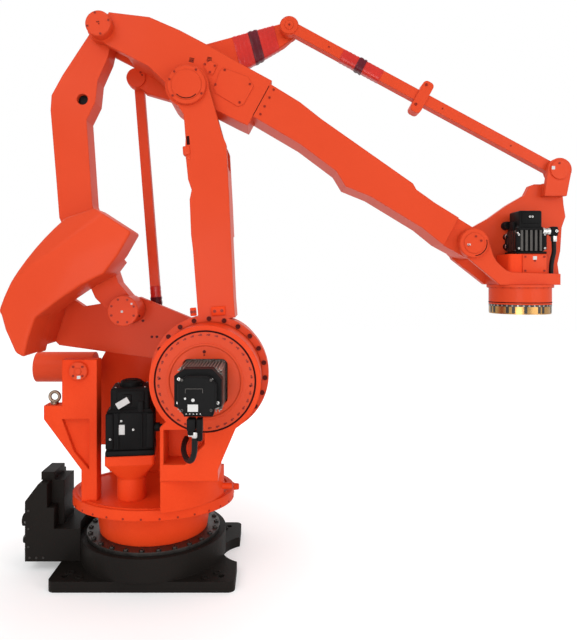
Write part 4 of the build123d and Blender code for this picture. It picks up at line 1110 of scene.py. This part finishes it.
for name, (member, *wrap) in wraps.items():
    makeWrap(name, wrapped[member], *wrap)
print("films and straps wound on")

wristDress = {
    "panel": (1.6730, 1.7830, 1.3215, 1.4105), "panelProud": 0.007, "panelScrewDrop": 0.030,
    "plateFront": 0.085,
    "sockets": [(1.660, 1.551, 0.020), (1.664, 1.498, 0.015), (1.666, 1.452, 0.017)], "socketRing": 0.026,
    "notchCount": 18, "notchDrift": (0.3, 2.4), "notchSize": (0.034, 0.013, 0.003), "notchSink": 0.0008,
    "bandDrop": 0.0045, "flangeScrews": (0.085, 12), "collarScrews": (0.1415, 24, 7.5), "collarDrop": 0.012,
    "seam": 0.1378, "seamRise": 0.010,
}


def overFlange(height):
    return Vector((toolAxis.x, 0, height))


def dressWrist():
    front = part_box("tool_motor_block")[0].y
    x0, x1, z0, z1 = wristDress["panel"]
    proud = front - wristDress["panelProud"]
    solidPiece("toolBlockPanel", "orangePaint", "wrist", [
        ((x0, proud, z0 + 0.001), (x1, front + 0.004, z1 - 0.001), 0.005)])
    places = [((x0 + x1) / 2, z1 - wristDress["panelScrewDrop"])]
    places += [(x, z) for x in (x0 + 0.012, x1 - 0.012) for z in (z0 + 0.014, z1 - 0.012)]
    paintScrews("toolBlockScrews", "wrist", frontSpots(places, proud), 0.0050, 0.005)
    # Plug sockets on the plate behind the motor
    plate, ring = wristDress["plateFront"], wristDress["plateFront"] - wristDress["socketRing"]
    solidPiece("wristSockets", "motorBlack", "wrist", lathes=[((x, plate, z), toViewer, [
        (0, -0.002), (out, -0.002), (out, 0.022), (out * 0.86, 0.026), (out * 0.86, 0.044),
        (out * 0.62, 0.046),
        (out * 0.62, 0.038), (0, 0.038)], 24) for x, z, out in wristDress["sockets"]])
    solidPiece("wristSocketRings", "zincSteel", "wrist", lathes=[((x, ring, z), toViewer, [
        (out * 0.88, -0.004), (out * 0.98, -0.002), (out * 0.98, 0.003), (out * 0.88, 0.005)], 24)
        for x, z, out in wristDress["sockets"][1:]])
    # Flange: dark notches round the golden rim, and screws on its face
    low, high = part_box("tool_flange")
    radius = (high.x - low.x) / 2
    count, (drift, pace) = wristDress["notchCount"], wristDress["notchDrift"]
    spots = []
    for k in range(count):
        angle = 2 * math.pi * (k + drift * math.sin(k * pace)) / count
        outward = Vector((math.cos(angle), math.sin(angle), 0))
        spots.append((overFlange((low.z + high.z) / 2) + outward * (radius - wristDress["notchSink"]),
                      outward))
    setRibs("flangeNotches", "flange", "darkScrew", spots, upward, wristDress["notchSize"])
    inner, outer = radius - 0.02, radius + 0.0012
    turnedPiece("flangeBand", "darkScrew", "flange", overFlange(high.z), upward,
                ringOf(inner, outer, -0.009, -0.0004), 72)
    centre = overFlange(high.z - wristDress["bandDrop"])
    spots = [(place, (place - centre).normalized())
             for place, axis in circleOf(centre, upward, radius, count * 2, 5)]
    setScrews("flangeBandScrews", "flange", "zincSteel", spots, 0.0036, 0.004)
    spots = circleOf(overFlange(low.z), downward, *wristDress["flangeScrews"])
    setScrews("flangeScrews", "flange", "zincSteel", spots, 0.0075, 0.006)
    # Seam between the drive and the plate over it
    low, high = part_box("tool_drive")
    turnedPiece("driveSeam", "seamShadow", "wrist", overFlange(low.z + wristDress["seamRise"]), upward,
                ringOf(wristDress["seam"] - 0.0078, wristDress["seam"], -0.003, 0.001), 72)
    # Collar screws in the red screw finish, darkened as painted shade
    spots = circleOf(overFlange(high.z - wristDress["collarDrop"]), downward, *wristDress["collarScrews"])
    setScrews("driveCollarScrews", "wrist", "shadedRedScrew", spots, 0.0035, 0.004)


dressWrist()
print("wrist dressed")


def arcOf(centre, radius, start, end, count=15):
    angles = [math.radians(angle) for angle in steps(start, end, count)]
    return [(centre.x + radius * math.cos(angle), centre.z + radius * math.sin(angle)) for angle in angles]


def makeLever():
    # Cast lever on the elbow pin: slim below, arched above, an eye at each end and a pin in each eye
    outline = arcOf(linkFoot - elbow, leverDress["footRadius"], -70, 90) + [leverTop()[0]]
    outline += arcOf(rodHead - elbow, leverDress["rodRadius"], 90, 292) + leverDress["lowerRear"]
    outline += arcOf(origin, leverDress["headRadius"], 185, 350) + leverDress["lowerFront"]
    front, back = leverDress["layer"]
    bm = bmesh.new()
    prism(bm, outline, frontPose(onLayer(elbow, back)), 0, back - front)
    rim = [edge for edge in bm.edges if max(abs(corner.co.y - front) for corner in edge.verts) < 0.0001]
    bmesh.ops.bevel(bm, geom=rim, offset=leverDress["soften"], segments=3, affect="EDGES", profile=0.5)
    radius = leverDress["pinRadius"]
    for pivot, (start, end) in ((linkFoot, leverDress["footPin"]), (rodHead, leverDress["rodPin"])):
        turned(bm, onLayer(pivot, end), toViewer, [
            (0, 0), (radius, 0), (radius, end - start - 0.002), (radius - 0.002, end - start),
            (0, end - start)])
    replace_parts(makePiece("elbowLever", bm, "orangePaint", "elbow_lever", 30), "elbow_lever")


makeLever()
print("lever above the elbow")

# The dark plug in the rear link's hole, and bolts and marks on the fork, the crank and the hub, dark with
# painted shade of their recesses
linkDress = {
    "plug": (0.974, 0.1204), "plugRadius": 0.0246,
    "forkMarks": [(-0.004, 0.005), (0.004, -0.003), (0.003, 0.006)],
    "crankBolts": [(-0.0587, 1.1315), (-0.0406, 1.1088), (0.0003, 1.0361), (0.0230, 1.0361)],
    "hubMarks": {"hubMark8A": (-0.003, 0.122, 0.0075), "hubMark4A": (-0.003, 0.108, 0.0035),
                 "hubMark5A": (-0.186, 0.012, 0.005), "hubMark5B": (0.186, -0.018, 0.005)},
}


def dressLinks():
    radius = linkDress["plugRadius"]
    turnedPiece("rearLinkPlug", "cableSheath", "rear_link",
                memberSpot(crankPin, armAngle, *linkDress["plug"], 0.0),
                toViewer, [(0, 0), (radius, 0), (radius, 0.028), (radius - 0.003, 0.031),
                           (radius - 0.006, 0.031),
                           (radius - 0.008, 0.028), (0, 0.028)], 36)
    spots = frontSpots(linkDress["forkMarks"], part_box("fork_bolt")[0].y - caps["forkCap"]["height"], forkPin)
    setScrews("forkMarks", "forearm", "boltRecessShade", spots, 0.003, 0.002, 0.5, 0.5, 8)
    spots = frontSpots(linkDress["crankBolts"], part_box("crank_arm")[0].y)
    setScrews("crankBolts", "crank", "boltRecessShade", spots, 0.006, 0.006, 0.6, 0.45)
    for name, (x, z, radius) in linkDress["hubMarks"].items():
        spots = frontSpots([(x, z)], coverFront, shoulder)
        setScrews(name, "turret", "boltRecessShade", spots, radius, 0.003, 0.7, 0.45, 6)


dressLinks()
print("links and hub marked")

baseDress = {
    "ringBolts": (0.286, 26, -90), "footHoles": [(0.264, -0.277), (0.311, -0.235)], "footTop": 0.045,
    "rim": 0.352, "rimInner": 0.338, "rimHeight": 0.004, "sideScrews": (1.0, 30, 6), "sideDrop": 0.036,
    "bar": (0.350, 0.050, 0.318), "barLength": 0.040, "barRadius": 0.016,
}


def dressBase():
    spots = circleOf(upward * (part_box("slew_ring")[1].z + 0.002), upward, *baseDress["ringBolts"])
    setScrews("slewRingBolts", "base", "darkScrew", spots, 0.0115, 0.011, 0.55, 0.5, 6)
    places = [place for x, y in baseDress["footHoles"]
              for place in fourOf(x, y, baseDress["footTop"] + 0.001)]
    spots = posedSpots(flat, places, upward)
    setScrews("footBolts", "base", "blackCasting", spots, 0.0155, 0.008, 0.6, 0.45, 24)
    # Low rim on the deck and the screws round its side
    low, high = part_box("turntable")
    narrow = high.y / high.x
    outer, inner, rise = baseDress["rim"], baseDress["rimInner"], baseDress["rimHeight"]
    bm = bmesh.new()
    turned(bm, upward * high.z, upward, [
        (inner, -0.003), (outer, -0.003), (outer, rise - 0.001), (outer - 0.001, rise),
        (inner + 0.001, rise),
        (inner, rise - 0.001), (inner, -0.003)], 96)
    bmesh.ops.scale(bm, vec=(1, narrow, 1), verts=bm.verts)
    makePiece("deckRim", bm, "castingPaintLowerLit", "turret")
    height = high.z - baseDress["sideDrop"]
    spots = [(Vector((high.x * spot.x, high.y * spot.y, height)),
              Vector((narrow * spot.x, spot.y, 0)).normalized())
             for spot, axis in circleOf(origin, upward, *baseDress["sideScrews"])]
    paintScrews("deckSideScrews", "turret", spots, 0.0045, 0.003, 0.6, 10)
    radius, length = baseDress["barRadius"], baseDress["barLength"]
    turnedPiece("deckStop", "castingPaintLowerLit", "turret", baseDress["bar"], toFront, [
        (0, -0.02), (radius + 0.006, -0.02), (radius + 0.004, 0.012), (radius, 0.018),
        (radius - 0.002, length - 0.003), (radius - 0.005, length), (0, length)], 24)


dressBase()
print("base and deck dressed")

boxDress = {
    "cover": ((-0.556, -0.118, 0.062), (-0.549, 0.118, 0.300)), "coverScrews": 4, "screwInset": 0.010,
    "connectors": [(-0.060, 0.205, 0.034), (0.052, 0.205, 0.034), (-0.055, 0.115, 0.022),
                   (0.0, 0.115, 0.022),
                   (0.055, 0.115, 0.022)],
    "sideScrews": [(-0.530, 0.062), (-0.500, 0.062), (-0.470, 0.062), (-0.536, 0.11), (-0.536, 0.19),
                   (-0.536, 0.27)],
}


def dressBox():
    # Back cover of the cable box with its connectors, and the screws on the cover and on the box's side
    low, high = (Vector(corner) for corner in boxDress["cover"])
    solidPiece("boxCover", "blackCasting", "base", [(low, high, 0.003)], lathes=[((low.x, y, z), toRear, [
        (0, -0.002), (out, -0.002), (out, 0.006), (out * 0.82, 0.008), (out * 0.82, 0.026),
        (out * 0.70, 0.028),
        (out * 0.64, 0.016), (0, 0.016)], 28) for y, z, out in boxDress["connectors"]])
    count, inset = boxDress["coverScrews"], boxDress["screwInset"]
    half = (high.z - low.z) / (2 * count)
    places = [(low.x, y, z) for z in steps(low.z + half, high.z - half, count)
              for y in (low.y + inset, high.y - inset)]
    setScrews("boxCoverScrews", "base", "zincSteel", posedSpots(flat, places, toRear), 0.005, 0.006)
    spots = frontSpots(boxDress["sideScrews"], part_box("cable_box")[0].y)
    setScrews("boxSideScrews", "base", "darkScrew", spots, 0.005, 0.004, 0.6, 0.45)


dressBox()

# Places on the shoulder motor's end, but for the bell's screws, whose places are about the shoulder
endDress = {
    "sink": 0.003, "tag": (0.238, 0.276, 0.819, 0.8455),
    "lights": [(0.2289, 0.8665, 0.0042), (0.2574, 0.8607, 0.0062)],
    "frame": (0.229, 0.2936, 0.886, 0.903), "frameWidth": 0.002, "row": (0.233, 0.2845, 5),
    "rowHeight": 0.8110,
    "bellScrews": [(0.052, 0.050), (-0.070, 0.052), (-0.072, -0.036), (0.074, -0.036)],
}


def dressServoEnd():
    # End face of the shoulder motor: bare plate, two light plugs, a thin frame and small screws
    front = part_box("shoulder_motor")[0].y + endDress["sink"]
    x0, x1, z0, z1 = endDress["tag"]
    solidPiece("shoulderServoTag", "barePlateAndGlint", "turret",
               [((x0, front - 0.0011, z0), (x1, front + 0.001, z1), 0.0004, 1)],
               lathes=[((x, front, z), toViewer, [(0, -0.001), (out, -0.001), (out, 0.0005), (0, 0.0012)],
                        20)
                       for x, z, out in endDress["lights"]])
    x0, x1, z0, z1 = endDress["frame"]
    wide = endDress["frameWidth"]
    bars = ((x0, z1 - wide, x1, z1), (x0, z0, x0 + wide, z1), (x1 - wide, z0, x1, z1))
    solidPiece("shoulderServoFrame", "darkScrew", "turret", [
        ((left, front - 0.0012, low), (right, front + 0.001, high), 0) for left, low, right, high in bars])
    spots = frontSpots([(x, endDress["rowHeight"]) for x in steps(*endDress["row"])], front)
    setScrews("shoulderServoRow", "turret", "zincSteel", spots, 0.0022, 0.002, 0.5, 0.5, 8)
    bell = front + servo["length"] * (1 - servo["bellEndShare"])
    setScrews("shoulderBellScrews", "turret", "zincSteel",
              frontSpots(endDress["bellScrews"], bell, shoulder), 0.0058, 0.008)


dressServoEnd()
print("cable box and shoulder motor dressed")

# Places along the upper link from its foot, and across it
upperLink = {
    "clampBolts": [(0.708, 0.060), (0.708, -0.045)], "screws": [(0.215, 0.0), (0.83, 0.0), (1.20, 0.0)],
}
spots = memberSpots(linkFoot, forearmAngle, upperLink["clampBolts"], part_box("link_clamp")[0].y)
paintScrews("linkClampBolts", "upper_link", spots, 0.007, 0.006)
spots = memberSpots(linkFoot, forearmAngle, upperLink["screws"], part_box("upper_link")[0].y)
paintScrews("upperLinkScrews", "upper_link", spots, 0.0045, 0.003, 0.6, 10)
print("forearm links dressed")

weight = {
    # places about the shoulder, each an angle from the crank and a share of the arc's radius
    "radius": 0.903, "front": -0.320, "back": -0.065, "arc": (-13.5, 16.6, 9),
    "inner": [(17.4, 0.983), (21.0, 0.946), (26.9, 0.880), (28.0, 0.839), (21.5, 0.834), (15.0, 0.831),
              (6.0, 0.764),
              (-2.0, 0.720), (-11.2, 0.676)],
    "nose": [(-19.9, 0.702), (-28.2, 0.762), (-21.8, 0.947)], "step": [(-17.0, 0.692), (-17.0, 0.976)],
    "facet": [(-21.9, 0.900), (6.8, 0.991)], "facetSlope": 60, "overlap": 0.001,
    "soften": 0.018, "segments": 4, "edgeAngle": 18,
}


def aboutCrank(places):
    spots = [(math.radians(angle), weight["radius"] * share) for angle, share in places]
    return [(out * math.cos(turn), out * math.sin(turn)) for turn, out in spots]


def softBlock(bm, outline, pose, start, end, joined, facet=None):
    # A prism with every edge rounded but those of the end that joins its neighbour, and perhaps a facet
    block = bmesh.new()
    prism(block, outline, pose, start, end)
    if facet:
        cut = bmesh.ops.bisect_plane(block, geom=block.verts[:] + block.edges[:] + block.faces[:],
                                     plane_co=facet[0],
                                     plane_no=facet[1], clear_outer=True)
        bmesh.ops.holes_fill(block, edges=[edge for edge in cut["geom_cut"]
                                           if isinstance(edge, bmesh.types.BMEdge)])
    layer = pose.translation.y - joined
    edges = [edge for edge in block.edges if edge.is_manifold
             and edge.calc_face_angle() > math.radians(weight["edgeAngle"])
             and max(abs(corner.co.y - layer) for corner in edge.verts) > 0.001]
    bmesh.ops.bevel(block, geom=edges, offset=weight["soften"], segments=weight["segments"], affect="EDGES",
                    profile=0.5, clamp_overlap=True)
    shape = bpy.data.meshes.new("softBlock")
    block.to_mesh(shape)
    block.free()
    bm.from_mesh(shape)


def makeWeight():
    # Cast counterweight with soft edges and a sloped upper face, stepped behind to clear the lower arm
    shared = [(angle, 1.0) for angle in steps(*weight["arc"])] + weight["inner"]
    lean = crankPin - shoulder
    pose = frontPose(onLayer(shoulder, weight["back"]), math.degrees(math.atan2(lean.z, lean.x)))
    depth, step = weight["back"] - weight["front"], weight["back"] - armFront
    start, end = [Vector((x, y, depth)) for x, y in aboutCrank(weight["facet"])]
    run = (end - start).normalized()
    slope = math.radians(weight["facetSlope"])
    normal = pose.to_3x3() @ Vector((run.y * math.cos(slope), -run.x * math.cos(slope), math.sin(slope)))
    behind = step + weight["overlap"]
    bm = bmesh.new()
    softBlock(bm, aboutCrank(shared + weight["step"]), pose, 0, behind, behind)
    softBlock(bm, aboutCrank(shared + weight["nose"]), pose, step, depth, step, (pose @ start, normal))
    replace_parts(makePiece("crankWeight", bm, "orangePaint", "crank", 60), "counterweight")


makeWeight()
print("counterweight rounded")

glintPatches = {
    # small bright patches of painted highlight on the caps and the tool block: the round face's middle, its
    # cap's front and the patch's offset and half size on it
    "wristGlints": ("wrist", [(wrist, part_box("wrist_pin")[0].y - 0.007, -0.026, -0.007, 0.008, 0.004),
                            (linkHead, 0.033, -0.034, 0.008, 0.008, 0.008),
                            (Vector((1.7286, 0, 1.3931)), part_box("tool_motor_block")[0].y - 0.007, 0, 0,
                             0.009, 0.008)]),
    "postGlint": ("turret", [(postPlace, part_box("front_post")[0].y - 0.003, 0.004, -0.026, 0.008, 0.007)]),
    "crankGlints": ("link_pin", [(crankPin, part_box("link_pin")[0].y - 0.003, -0.003, -0.003, 0.005, 0.005),
                               (crankPin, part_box("link_pin")[0].y - 0.003, 0.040, 0.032, 0.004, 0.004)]),
}


# Small bright patches in the pale plate finish, painted highlights
def setGlintPatches(name, body, places):
    bm = bmesh.new()
    for pivot, y, x, z, wide, tall in places:
        pose = frontPose(onLayer(pivot, y))
        roundedBox(bm, pose, (x - wide, z - tall, -0.001), (x + wide, z + tall, 0.0012), 0.0005, 1)
    makePiece(name, bm, "barePlateAndGlint", body)


for name, (body, places) in glintPatches.items():
    setGlintPatches(name, body, places)
print("tags set")
